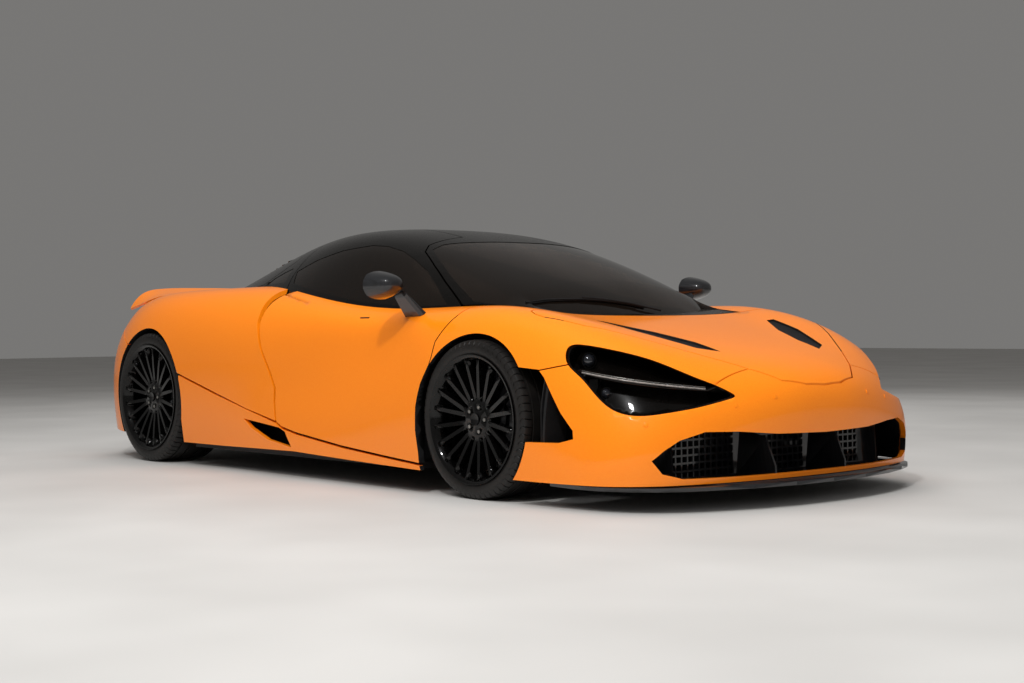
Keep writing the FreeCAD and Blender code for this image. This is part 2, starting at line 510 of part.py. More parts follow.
def rim(w, spokes=10):
    x, r, b, y1 = w["x"], w["r"], w["width"], w["outer"]
    y0, lip = y1 - b, w["lip"]
    bead = lip - 12.0
    c = (x, 0.0, r)
    barrel = turned([(y1 - 1, lip), (y1 - 1, lip - 7), (y1 - 17, bead - 9), (y1 - 55, bead - 24),
                     (y0 + 30, bead - 24), (y0 + 17, bead - 9), (y0 + 1, lip - 7), (y0 + 1, lip),
                     (y0 + 8, lip), (y0 + 13, bead), (y0 + 34, bead), (y0 + 50, bead - 16),
                     (y1 - 60, bead - 16), (y1 - 34, bead), (y1 - 13, bead), (y1 - 8, lip)], c)
    # the dish the spokes are cut from
    dish = turned([(y1 - 34, 30), (y1 - 36, 90), (y1 - 22, 170), (y1 - 9, bead - 8), (y1 - 42, bead - 14),
                   (y1 - 62, 170), (y1 - 82, 90), (y1 - 84, 30)], c)
    bars = []
    for k in range(spokes):
        mid = 2 * math.pi * k / spokes
        for side in (-1, 1):
            inner, outer = mid + side * 0.085, mid + side * 0.155
            pts = []
            for ang, rad, half in ((inner, 60, 9.0), (outer, bead - 6, 7.5)):
                px, pz = rad * math.sin(ang), rad * math.cos(ang)
                pts.append((px, pz, half, ang))
            (ax, az, ha, ta), (bx, bz, hb, tb) = pts
            ln = math.hypot(bx - ax, bz - az)
            nx, nz = (bz - az) / ln, -(bx - ax) / ln
            bars.append(prism([(x + ax + nx * ha, r + az + nz * ha), (x + bx + nx * hb, r + bz + nz * hb),
                               (x + bx - nx * hb, r + bz - nz * hb), (x + ax - nx * ha, r + az - nz * ha)],
                              "xz", y1 - 95, y1))
    star = dish.common(bars[0].fuse(bars[1:]))
    hub = turned([(y1 - 30, 0), (y1 - 30, 26), (y1 - 33, 30), (y1 - 33, 66), (y1 - 38, 78), (y1 - 90, 78),
                  (y1 - 110, 60), (y1 - 110, 0)], c)
    seats = [Part.makeCylinder(11, 20, V(x + 52 * math.cos(a), y1 - 44, r + 52 * math.sin(a)), V(0, 1, 0))
             for a in [2 * math.pi * k / 5 for k in range(5)]]
    s = barrel.fuse([hub] + star.Solids).removeSplitter()
    return biggest(minus(s, *seats))


def brake_disc(w, radius):
    """Disc and its bell, bolted behind the wheel."""
    x, r, y1 = w["x"], w["r"], w["outer"]
    y = y1 - 110
    return turned([(y, 0), (y, 88), (y - 26, 96), (y - 26, radius), (y - 60, radius), (y - 60, 88), (y - 60, 84),
                   (y - 14, 76), (y - 14, 0)], (x, 0.0, r))


def corner(w):
    """Places of one left corner: inner face of the disc's bell, kingpin and the ears' heights."""
    y_bell = w["outer"] - 110.0
    return y_bell, y_bell - 101.0, w["r"] - 112.0, w["r"] + 112.0


def upright(w, radius, up):
    """Upright with stub axle and caliper; its two ears are bored for the wishbones' pins."""
    x, r = w["x"], w["r"]
    y, yk, zl, zu = corner(w)
    body = rounded([(x - 42, zl), (x + 42, zl), (x + 58, r), (x + 42, zu), (x - 42, zu), (x - 58, r)],
                   10, "xz", yk - 24, yk + 26)
    stub = Part.makeCylinder(46, 44, V(x, yk + 20, r), V(0, 1, 0)).fuse(
        Part.makeCylinder(30, y + 38 - yk, V(x, yk, r), V(0, 1, 0)))
    ring = Part.makeCylinder(radius + 28, 92, V(x, y - 78, r), V(0, 1, 0)).cut(
        Part.makeCylinder(radius - 58, 100, V(x, y - 80, r), V(0, 1, 0)))
    a, b = math.radians(up - 27), math.radians(up + 27)
    wedge = prism([(x, r), (x + 420 * math.cos(a), r + 420 * math.sin(a)),
                   (x + 420 * math.cos(b), r + 420 * math.sin(b))], "xz", y - 90, y + 60)
    slot = turned([(y - 66, 90), (y - 66, radius + 6), (y - 20, radius + 6), (y - 20, 90)], (x, 0.0, r))
    cal = ring.common(wedge).cut(slot)
    m = math.radians(up)
    post = tube((x, yk + 12, r), (x + (radius - 30) * math.cos(m), yk + 12, r + (radius - 30) * math.sin(m)), 17)
    bore = Part.makeCylinder(12.05, 400, V(x, yk, r - 200), V(0, 0, 1)).cut(
        Part.makeBox(400, 400, 2 * 78, V(x - 200, yk - 200, r - 78)))
    return biggest(minus(fused([body, stub, cal, post]), bore))


def arms(w, feet):
    """Two wishbones of one left corner; feet holds (x, y) of each leg's inner end."""
    x = w["x"]
    _, yk, zl, zu = corner(w)
    parts = []
    for z, out in ((zl, -1), (zu, 1)):
        mid = z + out * 11.4
        parts.append(Part.makeCylinder(26, 22, V(x, yk, mid - 11), V(0, 0, 1)))
        parts.append(Part.makeCylinder(12, 36 + 11, V(x, yk, mid - 36 if out > 0 else mid - 11), V(0, 0, 1)))
        for fx, fy in feet:
            parts.append(tube((x, yk, mid), (fx, fy, mid), 10.9))
    return parts


def build_wheels():
    out = {}
    for tag, w, disc, up in (("front", FRONT_WHEEL, 190.0, 48.0), ("rear", REAR_WHEEL, 190.0, 30.0)):
        y = corner(w)[0]
        out["tyre_%s_left" % tag] = tyre(w)
        wheel = rim(w).fuse(brake_disc(w, disc)).removeSplitter()
        bore = Part.makeCylinder(30.05, 140, V(w["x"], y - 100, w["r"]), V(0, 1, 0))
        out["wheel_%s_left" % tag] = biggest(wheel.cut(bore))
        out["upright_%s_left" % tag] = upright(w, disc, up)
    return out


# Structure, cabin and trim.


def moving_room(net):
    """Space kept clear for the doors and the bonnet at rest."""
    room = net_skin(net, inset(net, DOOR_DEPTH + 7)).common(prism(DOOR_LOW, "xz", 400, 1100, grow=4))
    lid = net_skin(net, inset(net, SKIN + 7)).common(prism(both(BONNET_PLAN), "xy", 420, 1000, grow=5))
    return [room, mirrored(room), lid]


def front_house(grow=0.0, inner=560.0):
    x, z = FRONT_WHEEL["x"], FRONT_WHEEL["r"]
    pts = [(-396, -400), (-396, 170), (-330, 265), (-200, 335), (0, 356), (200, 335), (330, 265), (396, 170),
           (396, -400)]
    return prism([(x + a, z + b) for a, b in pts], "xz", inner, 922, grow=grow)


def build_liners(net):
    """Linings of the four wheel houses, cut off inside the panels."""
    x, z = FRONT_WHEEL["x"], FRONT_WHEEL["r"]
    front = front_house(5.0, 600).cut(front_house(0.5, 590))
    front = front.cut(box(x - 500, x + 500, 500, 1000, -400, 115))
    rear = wheelhouse(REAR_WHEEL, 372.0, 640.0).cut(wheelhouse(REAR_WHEEL, 367.0, 630.0))
    rear = rear.cut(box(REAR_AXLE - 500, REAR_AXLE + 500, 500, 1200, -100, 300))
    room = net_solid(inset(net, SKIN + 0.6))
    door = moving_room(net)[0]
    return biggest(front.common(room).cut(door)), biggest(rear.common(room))


def build_structure():
    """Tub, floors, axles, engine and cabin, trimmed to stay inside the panels."""
    out = {}
    net, top = whole(STATIONS), whole(CANOPY)
    inner = net_solid(inset(net, SKIN + 0.3))
    clear = moving_room(net)
    house = front_house(5.3)
    rear_house = wheelhouse(REAR_WHEEL, 372.4, 622.0, 1100.0)
    houses = [house, mirrored(house), rear_house, mirrored(rear_house)]
    front_lining, rear_lining = build_liners(net)
    out["arch_liner_left"] = Part.Compound([front_lining, rear_lining])

    # tub: floor, side beams, bulkheads, tunnel, luggage tray and the ribs that carry the panels
    beam = prism([(560, 112), (560, 150), (700, 320), (790, 330), (800, 112)], "yz", -1060, 800)
    front = prism([(1040, 112), (1092, 112), (1112, 640), (1095, 700), (1020, 700), (1058, 620)], "xz", -556, 556)
    rear = prism([(-620, 112), (-700, 112), (-760, 700), (-740, 850), (-690, 850), (-680, 600)], "xz", -700, 700)
    tray = box(1092, 1780, -420, 420, 200, 540).cut(box(1112, 1760, -400, 400, 218, 600))
    hx, hz = BONNET_AXIS
    lug = prism([(1092, 640), (1120, 640), (hx + 10, hz), (hx, hz + 10), (hx - 10, hz)], "xz", 539, 551.6)
    lug = lug.fuse([Part.makeCylinder(6, 24, V(hx, 551, hz), V(0, 1, 0))])
    beam = beam.common(box(-1100, 1100, -2000, 2000, 112.3, 500))
    side = [beam, lug, box(1500, 2240, 300, 380, 300, 360), box(1585, 1597, 415, 930, 130, 538),
            box(-1060, 800, 790, 935, 112, 132), box(1585, 1939, 420, 440, 112.3, 300),
            box(1092, 1104, 380, 760, 640, 700)]
    tub = fused([box(-760, 1100, -700, 700, 112, 140), front, rear, box(-620, 1050, -85, 85, 130, 330), tray,
                 box(1092, 1500, -300, 300, 112.3, 175.7), box(2000, 2060, -560, 560, 300, 380)] +
                side + [mirrored(s) for s in side])
    scuttle = prism([(1020, 690), (1112, 690), (1230, 700), (1290, 700), (1290, 800), (1112, 800), (1112, 745),
                     (1000, 745)], "xz", -470, 470)
    band = net_solid(inset(top, -0.3)).cut(net_solid(inset(top, CANOPY_SKIN + 0.3)))
    scuttle = scuttle.cut(band.common(box(1000, 1400, -700, 700, 734.7, 900)))
    tub = tub.fuse([scuttle])
    pins = [Part.makeCylinder(6, 24, V(hx, 551, hz), V(0, 1, 0))]
    tub = minus(tub.common(inner), *(houses + clear))
    tub = tub.fuse(pins + [mirrored(s) for s in pins])
    out["tub"] = biggest(tub)

    plan = [(1870, 0), (1870, 850), (1590, 900), (1560, 560), (790, 560), (790, 900), (-1080, 900),
            (-1110, 600), (-1900, 600), (-1900, 0)]
    pads = [Part.makeCylinder(PAD_R, 28, V(x, s * JACK_PAD[1], JACK_PAD[2])) for x in JACK_PAD[0] for s in (1, -1)]
    floor = biggest(minus(prism(both(plan), "xy", 99, 112), *houses))
    out["undertray"] = fused([floor] + [pad.common(box(-2000, 2000, -1000, 1000, 0, 112)) for pad in pads])

    # rear frame
    rails = [box(-2137.7, -690, 300, 345, 420, 480), box(-1150, -1110, 300, 960, 420, 540),
             box(-1910, -1885, 300, 930, 300, 480),
             box(-1150, -1110, 300, 345, 420, 1100)]
    cross = [box(-1150, -1110, -345, 345, 660, 700)]
    frame = fused(rails + [mirrored(s) for s in rails] + cross)
    rise, foot = V(*WING_RISE), V(*WING_ROD)
    sleeve = Part.makeCylinder(19, 420, foot - rise * 420, rise).common(inner)
    bore = Part.makeCylinder(9.05, 400, foot - rise * 400, rise)
    posts = frame.common(net_solid(inset(top, CANOPY_SKIN + 0.6))).common(box(-1160, -1100, -400, 400, 600, 1100))
    frame = minus(frame.common(inner).fuse([sleeve, mirrored(sleeve), posts]), rear, *houses)
    out["rear_frame"] = biggest(minus(frame, bore, mirrored(bore)).removeSplitter())
    pipes = [tube((-2226, s * 120, 560), (-1780, s * 120, 470), 56, 50) for s in (1, -1)]
    silencer = rounded([(-1850, 420), (-1640, 420), (-1640, 560), (-1850, 560)], 30, "xz", -280, 280)
    out["engine_block"] = fused([box(-1100, -765, -240, 240, 150, 600), box(-1780, -1100, -150, 150, 180, 419),
                                 box(-1060, -960, -300, 300, 425, 450), silencer,
                                 tube((-1780, 0, 400), (-1780, 0, 440), 60)] + pipes)

    # axles: wishbones on their subframes, a steering rack in front
    left = arms(FRONT_WHEEL, [(1400, 433), (1130, 433)])
    left += [box(x - 14, x + 14, 420, 446, 180, 464) for x in (1400, 1130)]
    across = [box(x - 14, x + 14, -446, 446, 176, 199.8) for x in (1400, 1130)]
    rack = [box(1130, 1400, -30, 30, 176, 199.8)]
    out["front_axle"] = fused(left + [mirrored(s) for s in left] + across + rack)
    feet = REAR_AXLE - 120, REAR_AXLE + 120
    left = arms(REAR_WHEEL, [(x, 358) for x in feet])
    left += [box(x - 14, x + 14, 345, 372, 150, 484) for x in feet]
    across = [box(x - 14, x + 14, -372, 372, 150, 178) for x in feet]
    shaft = tube((REAR_AXLE, 150, REAR_WHEEL["r"]), (REAR_AXLE, 720, REAR_WHEEL["r"]), 18)
    _, yk, zl, zu = corner(REAR_WHEEL)
    hub = upright(REAR_WHEEL, 190.0, 30.0)
    studs = [tube((REAR_AXLE, yk, zl - 20), (REAR_AXLE, yk, zl + 36), 14),
             tube((REAR_AXLE, yk, zu - 36), (REAR_AXLE, yk, zu + 20), 14)]
    left = fused(left + [shaft, hub] + studs)
    out["rear_axle"] = fused([left, mirrored(left)] + across)
    return out


def build_cabin():
    out = {}
    top = whole(CANOPY)
    room = net_solid(inset(top, CANOPY_SKIN + 3))
    # seats: cushion, back with its head part and side bolsters, on a plinth
    cushion = [(-330, 140), (120, 140), (160, 230), (140, 290), (-250, 262), (-330, 330)]
    back = [(-345, 200), (-262, 250), (-330, 420), (-420, 640), (-470, 800), (-500, 900), (-560, 905), (-570, 860),
            (-545, 700), (-500, 520), (-440, 300)]
    seat = prism(cushion, "xz", 170, 550).fuse(prism(back, "xz", 190, 530))
    for y in (160, 500):
        seat = seat.fuse(rounded([(-320, 150), (110, 150), (120, 250), (60, 320), (-230, 330), (-300, 560),
                                  (-380, 700), (-430, 690), (-440, 420)], 25, "xz", y, y + 60))
    seats = seat.fuse(mirrored(seat)).fuse(box(-480, 240, -160, 160, 330, 372))
    out["seats"] = biggest(seats.removeSplitter())
    dash = prism([(1062, 330), (1062, 700), (1000, 752), (860, 760), (700, 735), (560, 700), (545, 660),
                  (620, 600), (720, 560), (760, 480), (800, 330)], "xz", -600, 600)
    dash = dash.cut(box(500, 780, 130, 620, 300, 560)).cut(box(500, 780, -620, -130, 300, 560))
    column = tube((760, 350, 610), (470, 350, 700), 32)
    house = front_house()
    out["dashboard"] = biggest(minus(dash.fuse(column), house, mirrored(house)))
    # steering wheel on the column's end, its plane square to the column
    a = V(470, 350, 700)
    d = V(-290, 0, 90)
    d.normalize()
    c = a + d * 40
    ring = Part.makeTorus(176, 15, c, d)
    hub = Part.makeCylinder(62, 42, a + d * 0.4, d).cut(Part.makeCylinder(20.05, 30, a - d * 1, d))
    out["steering_wheel"] = (ring, hub, a, d, c)
    return out


def scaled(points, k):
    """3-D outline drawn in towards its middle."""
    n = float(len(points))
    mid = [sum(p[i] for p in points) / n for i in range(3)]
    return [tuple(mid[i] + (p[i] - mid[i]) * k for i in range(3)) for p in points]


def ellipsoid(centre, a, b, c):
    s = Part.makeSphere(1.0)
    m = FreeCAD.Matrix()
    m.scale(a, b, c)
    s = s.transformGeometry(m)
    s.translate(V(*centre))
    return s


def build_trim():
    out = {}
    net, top = whole(STATIONS), whole(CANOPY)
    # headlamp: a bowl in its socket with two light blades across it
    socket = aimed_prism(scaled(LAMP, 0.997), LAMP_AIM, 260, 60)
    well = aimed_prism(scaled(LAMP, 0.95), LAMP_AIM, 260, 60)
    bowl = net_skin(inset(net, 8), inset(net, 96)).common(socket)
    bowl = bowl.cut(net_skin(inset(net, 0), inset(net, 84)).common(well))
    blade = prism([(1690, 520), (2200, 432), (2200, 446), (1690, 540)], "xz", 300, 1000)
    blade = blade.common(net_skin(inset(net, 26), inset(net, 90))).common(aimed_prism(scaled(LAMP, 0.98), LAMP_AIM, 260, 60))
    out["headlamp_left"] = biggest(bowl.fuse(blade))

    # carbon splitter under the mouth, with the mouth's side fences and dividers
    plan = [(1600, 0), (1600, 905), (1760, 925), (1880, 912), (1975, 868), (2060, 800), (2120, 715), (2170, 600),
            (2225, 430), (2262, 220), (2271.5, 0)]
    lip = prism(both(plan), "xy", 84, 98.7)
    plate = prism(both([(1900, 0), (1900, 800), (2030, 770), (2100, 690), (2180, 440), (2215, 0)]), "xy", 98, 104)
    wedge = prism([(1960, 96), (2160, 96), (2160, 150), (2112, 262), (1980, 290)], "xz", 216, 226)
    wall = prism([(1880, 96), (2010, 96), (1990, 330), (1880, 330)], "xz", 640, 652)
    parts = [plate, wedge, mirrored(wedge), wall, mirrored(wall)]
    grille = box(1940, 1952, -645, 645, 96, 299.7)
    holes = [box(1930, 1960, y, y + 26, 112 + 30 * k, 134 + 30 * k) for k in range(6) for y in range(-600, 590, 34)
             if not (205 < abs(y + 13) < 240)]
    grille = grille.cut(Part.Compound(holes))
    out["front_splitter"] = fused([lip] + parts + [grille])

    # tail: mesh panel with the lamp strips, pipes and the diffuser
    rim = both_front(TAIL_OPENING)
    back = prism(rim, "yz", -2150, -2138)
    wall = prism(rim, "yz", -2212, -2138).cut(prism([(y * 0.985, 330 + (z - 330) * 0.97 + 6) for y, z in rim],
                                                    "yz", -2220, -2130))
    slots = [box(-2160, -2130, y, y + 30, 360 + 34 * k, 384 + 34 * k) for k in range(8) for y in range(-560, 550, 40)
             if abs(y + 15) < 560 - 12 * k]
    ports = [tube((-2240, s * 120, 562.8), (-2100, s * 120, 534.6), 62) for s in (1, -1)]
    mesh = fused([back.cut(Part.Compound(slots)), wall])
    lamp = prism([(150, 664), (380, 646), (500, 612), (566, 562), (582, 566), (512, 626), (384, 660), (150, 678)],
                 "yz", -2166, -2150)
    out["tail_lamp_left"] = lamp
    out["tail_mesh"] = biggest(minus(mesh, *ports))
    floor = prism([(-1900, 99), (-1900, 112), (-2130, 190), (-2258, 282), (-2271.5, 272), (-2140, 178)], "xz", -640, 640)
    fins = [prism([(-1900, 100), (-2262, 274), (-2240, 170), (-2100, 110)], "xz", y - 4, y + 4)
            for y in (-480, -290, -100, 100, 290, 480)]
    out["diffuser"] = fused([floor] + fins)

    # rear wing: one blade flush in its pocket in front, its ends drooping to the haunches, on two rods
    upper = [[(-1790, 0, 869.5), (-1790, 300, 872.8), (-1780, 490, 885.0), (-1762, 620, 895.0), (-1749, 686, 890.0)],
             [(-1880, 0, 880), (-1880, 300, 882), (-1872, 500, 893), (-1860, 640, 899), (-1850, 705, 884)],
             [(-2000, 0, 918), (-2000, 300, 919), (-1996, 510, 920), (-1984, 655, 906), (-1970, 714, 846)],
             [(-2106, 0, 942), (-2106, 300, 942), (-2106, 520, 940), (-2106, 660, 920), (-2108, 714, 822)]]
    upper = [[(x, -y, z) for x, y, z in row[:0:-1]] + row for row in upper]
    lower = [[(x + 1.0, y * 0.988, z - 9.0) for x, y, z in row] for row in upper]
    blade = plate_solid(upper, lower)
    rise, foot = V(*WING_RISE), V(*WING_ROD)
    rod = Part.makeCylinder(9, 260, foot - rise * 250, rise)
    flange = Part.makeCylinder(13, 26, foot - rise * 8, rise)
    above = prism([(-1780, 869), (-1880, 876), (-2000, 917), (-2106, 941), (-2106, 1100), (-1780, 1100)], "xz", -400, 400)
    rods = [s.cut(above) for s in (rod, mirrored(rod), flange, mirrored(flange))]
    out["rear_wing"] = biggest(blade.fuse(rods))
    # mirror: a bowl open to the rear on a blade-shaped arm
    def bowl_net(a, b, depth, x):
        """Dome over a rounded rim: half width a, half height b, bulging forwards by depth."""
        rows = [[(-0.72, -0.80, 0), (-0.36, -1.0, 0), (0.05, -1.04, 0), (0.50, -0.98, 0), (0.80, -0.74, 0)],
                [(-0.98, -0.40, 0), (-0.62, -0.62, 1), (0.02, -0.74, 1), (0.62, -0.60, 1), (1.0, -0.38, 0)],
                [(-1.0, 0.0, 0), (-0.70, 0.0, 1.1), (0.0, 0.0, 1.25), (0.70, 0.05, 1.1), (1.04, 0.05, 0)],
                [(-0.98, 0.40, 0), (-0.62, 0.66, 1), (0.02, 0.80, 1), (0.62, 0.62, 1), (1.0, 0.40, 0)],
                [(-0.72, 0.78, 0), (-0.36, 1.0, 0), (0.05, 1.04, 0), (0.50, 0.98, 0), (0.80, 0.76, 0)]]
        return [[(x + depth * d, 988 + a * p, 886 + b * q) for p, q, d in row] for row in rows]

    shell = plate_solid(bowl_net(92, 60, 106, 628), bowl_net(84, 52, 96, 628))
    arm = Part.makeLoft([closed_wire([(634, 915, 832), (700, 915, 836), (716, 915, 848), (700, 915, 862), (634, 915, 860)],
                                     False),
                         closed_wire([(610, 800, 690), (740, 800, 690), (752, 800, 712), (740, 800, 745),
                                      (610, 800, 740)], False)], True)
    out["mirror_left"] = (shell, arm)
    return out


SHARED = ("front_fender", "rear_quarter", "sill", "headlamp", "tail_lamp", "bonnet_vent", "arch_liner")


def build():
    """All nodes by name."""
    nodes = build_body()
    nodes.update(build_wheels())
    struct = build_structure()
    cabin = build_cabin()
    trim = build_trim()
    for name in ("tub", "rear_frame", "engine_block", "arch_liner_left"):
        nodes[name] = struct[name]
    nodes["front_axle"] = struct["front_axle"]
    nodes["rear_axle"] = struct["rear_axle"]
    nodes.pop("upright_rear_left")
    nodes["undertray"] = biggest(struct["undertray"].fuse(trim["diffuser"]))
    nodes["seats"] = cabin["seats"]
    nodes["dashboard"] = biggest(cabin["dashboard"].cut(nodes["tub"]))
    ring, hub, a, d, c = cabin["steering_wheel"]
    spokes = [tube(tuple(c), tuple(c + t * 168), 11) for t in
              (V(0, 1, 0), V(0, -1, 0), V(0, 1, 0).cross(d) * (1 if V(0, 1, 0).cross(d).z < 0 else -1))]
    nodes["steering_wheel"] = fused([ring, hub] + spokes)
    for name in ("headlamp_left", "front_splitter", "tail_mesh", "tail_lamp_left", "rear_wing"):
        nodes[name] = trim[name]
    shell, arm = trim["mirror_left"]
    nodes["mirror_left"] = biggest(shell.fuse(arm.cut(net_solid(inset(whole(STATIONS), -0.3)))).removeSplitter())
    for name in [n for n in nodes if n.endswith("_left")]:
        other = mirrored(nodes[name])
        if name == "quarter_glass_left":
            nodes["quarter_glasses"] = Part.Compound([nodes.pop(name), other])
        elif name[:-5] in SHARED:
            nodes[name[:-5] + "s"] = Part.Compound(nodes.pop(name).Solids + other.Solids)
        else:
            nodes[name[:-5] + "_right"] = other
    return nodes


def main():
    os.makedirs("parts", exist_ok=True)
    for name, shape in sorted(build().items()):
        shape.exportStep("parts/%s.step" % name)
        print(name, len(shape.Solids), shape.isValid(), round(shape.Volume / 1e6, 2))


main()
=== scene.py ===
"""Looks of the two-seat supercar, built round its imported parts.

Metres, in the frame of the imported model: +X to the nose, +Y to the car's left, +Z up,
floor at Z = 0.
"""
import json
import math
from collections import namedtuple

import bmesh
import bpy
from mathutils import Matrix, Vector
from mathutils.bvhtree import BVHTree

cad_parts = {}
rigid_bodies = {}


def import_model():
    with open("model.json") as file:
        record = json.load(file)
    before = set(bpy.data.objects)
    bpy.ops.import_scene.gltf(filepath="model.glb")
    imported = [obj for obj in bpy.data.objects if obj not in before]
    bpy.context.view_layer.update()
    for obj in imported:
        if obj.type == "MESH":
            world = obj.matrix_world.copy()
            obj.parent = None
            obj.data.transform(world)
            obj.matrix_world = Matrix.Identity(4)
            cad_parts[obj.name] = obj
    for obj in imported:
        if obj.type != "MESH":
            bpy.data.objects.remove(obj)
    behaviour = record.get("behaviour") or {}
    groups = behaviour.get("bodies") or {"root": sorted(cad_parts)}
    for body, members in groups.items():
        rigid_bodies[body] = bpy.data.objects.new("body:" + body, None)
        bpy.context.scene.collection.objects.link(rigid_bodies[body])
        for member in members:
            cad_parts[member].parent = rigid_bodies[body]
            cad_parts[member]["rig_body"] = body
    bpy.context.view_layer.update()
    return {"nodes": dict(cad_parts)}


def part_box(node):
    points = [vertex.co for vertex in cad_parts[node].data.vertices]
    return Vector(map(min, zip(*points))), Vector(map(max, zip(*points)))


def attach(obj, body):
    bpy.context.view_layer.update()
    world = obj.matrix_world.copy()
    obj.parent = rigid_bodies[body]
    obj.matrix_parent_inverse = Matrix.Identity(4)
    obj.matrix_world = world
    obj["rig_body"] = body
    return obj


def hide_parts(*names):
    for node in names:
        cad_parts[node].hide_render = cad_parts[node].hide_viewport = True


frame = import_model()
NODES = frame["nodes"]

MM = 0.001
SIDES = (("left", 1), ("right", -1))     # a side's name and the sign of its Y
DOWN = (0, 0, -1)
OVERHEAD = 1.6                           # a height above the whole car

# x and r: the wheel's centre and height; face: its outer face; lip: the rim's outer radius
Wheel = namedtuple("Wheel", "end x r face width lip")
WHEELS = (Wheel("front", x=1.171, r=0.327, face=0.947, width=0.245, lip=0.266),
          Wheel("rear", x=-1.499, r=0.343, face=0.945, width=0.305, lip=0.279))


# Shader helpers.
def colour(code, alpha=1.0):
    """An sRGB hex code as linear red, green, blue and alpha."""
    parts = [int(code[i:i + 2], 16) / 255 for i in (0, 2, 4)]
    linear = [c / 12.92 if c <= 0.04045 else ((c + 0.055) / 1.055) ** 2.4 for c in parts]
    return (*linear, alpha)


def add(tree, kind, sockets=None, **settings):
    """A node of that kind; sockets sets its inputs, or links those given an output."""
    node = tree.nodes.new(kind)
    for name, value in settings.items():
        setattr(node, name, value)
    for name, value in (sockets or {}).items():
        if isinstance(value, bpy.types.NodeSocket):
            tree.links.new(value, node.inputs[name])
        else:
            node.inputs[name].default_value = value
    return node


def finish(name, **sockets):
    """A new material with a Principled shader; returns the material, its tree and the shader."""
    mat = bpy.data.materials.new(name)
    mat.use_nodes = True
    tree = mat.node_tree
    shader = tree.nodes["Principled BSDF"]
    for key, value in sockets.items():
        shader.inputs[key.replace("_", " ")].default_value = value
    return mat, tree, shader


def grain(tree, size_mm, detail=2.0):
    """Noise over the object's own coordinates with features of about size_mm."""
    place = add(tree, "ShaderNodeTexCoord")
    noise = add(tree, "ShaderNodeTexNoise", {"Vector": place.outputs["Object"],
                                             "Scale": 1000 / size_mm, "Detail": detail})
    return noise.outputs["Fac"]


def tint(tree, shader, factor, low, high, start=0.3, end=0.7):
    """Lets the base colour run from low to high with the factor."""
    ramp = add(tree, "ShaderNodeValToRGB", {"Fac": factor})
    ramp.color_ramp.elements[0].position = start
    ramp.color_ramp.elements[0].color = colour(low)
    ramp.color_ramp.elements[1].position = end
    ramp.color_ramp.elements[1].color = colour(high)
    tree.links.new(ramp.outputs["Color"], shader.inputs["Base Color"])


def rough(tree, shader, factor, low, high):
    """Lets the roughness run from low to high with the factor."""
    spread = add(tree, "ShaderNodeMapRange", {"Value": factor, "To Min": low, "To Max": high})
    tree.links.new(spread.outputs["Result"], shader.inputs["Roughness"])


def bump(tree, shader, factor, height_mm, strength=0.5):
    """Lets the surface rise and fall with the factor."""
    node = add(tree, "ShaderNodeBump", {"Height": factor, "Distance": height_mm * MM,
                                        "Strength": strength})
    tree.links.new(node.outputs["Normal"], shader.inputs["Normal"])


# Materials.
def orange_enamel():
    """Sprayed enamel under clear lacquer: a deep orange with a fine warm pearl, shiny on top."""
    mat, tree, shader = finish("orange_enamel", Roughness=0.42, Coat_Weight=0.6,
                               Coat_Roughness=0.05, Specular_IOR_Level=0.25)
    # pearl flakes are far finer; drawn at 3 mm so that they show
    tint(tree, shader, grain(tree, 3.0), "FA8006", "FF8E12")
    bump(tree, shader, grain(tree, 45.0, 0.0), 0.05, 0.15)
    return mat


def tinted_screen():
    """Laminated glass with a smoke tint: nearly black from outside, the cabin just shows."""
    mat, tree, shader = finish("tinted_screen", Roughness=0.02, IOR=1.33, Transmission_Weight=0.8)
    tint(tree, shader, grain(tree, 400.0, 0.0), "2B221C", "352B24")
    return mat


def carbon_twill():
    """Carbon cloth in clear resin: a dark twill with a satin glint."""
    mat, tree, shader = finish("carbon_twill", Metallic=0.3, Coat_Weight=0.9, Coat_Roughness=0.06)
    place = add(tree, "ShaderNodeTexCoord")
    # the real tow is 2 mm wide; drawn 5 mm wide so that it shows
    tow = 1000 / 5.0
    turned = add(tree, "ShaderNodeMapping", {"Vector": place.outputs["Object"],
                                             "Scale": (tow, tow, tow),
                                             "Rotation": (0.6, 0.5, math.pi / 4)})
    weave = add(tree, "ShaderNodeTexChecker", {"Vector": turned.outputs["Vector"], "Scale": 1.0})
    tint(tree, shader, weave.outputs["Fac"], "141416", "26272A")
    rough(tree, shader, weave.outputs["Fac"], 0.32, 0.5)
    return mat


def piano_black():
    """Moulded ABS painted gloss black: canopy frame and trim, with soft reflections."""
    mat, tree, shader = finish("piano_black", Coat_Weight=0.35, Coat_Roughness=0.03,
                               Specular_IOR_Level=0.08)
    tint(tree, shader, grain(tree, 60.0), "050403", "090706")
    rough(tree, shader, grain(tree, 30.0), 0.22, 0.3)
    return mat


def rim_black():
    """Forged aluminium under gloss black powder coat: deep black with narrow highlights."""
    mat, tree, shader = finish("rim_black", Coat_Weight=0.55, Coat_Roughness=0.05,
                               Specular_IOR_Level=0.08)
    tint(tree, shader, grain(tree, 20.0), "020202", "060505")
    rough(tree, shader, grain(tree, 8.0), 0.2, 0.32)
    return mat


def moulded_black():
    """Moulded polypropylene: a dull dark grey with a fine leather-like grain."""
    mat, tree, shader = finish("moulded_black", Specular_IOR_Level=0.4)
    tint(tree, shader, grain(tree, 90.0), "121213", "1B1B1C")
    rough(tree, shader, grain(tree, 12.0), 0.55, 0.75)
    bump(tree, shader, grain(tree, 2.5, 3.0), 0.2, 0.4)
    return mat


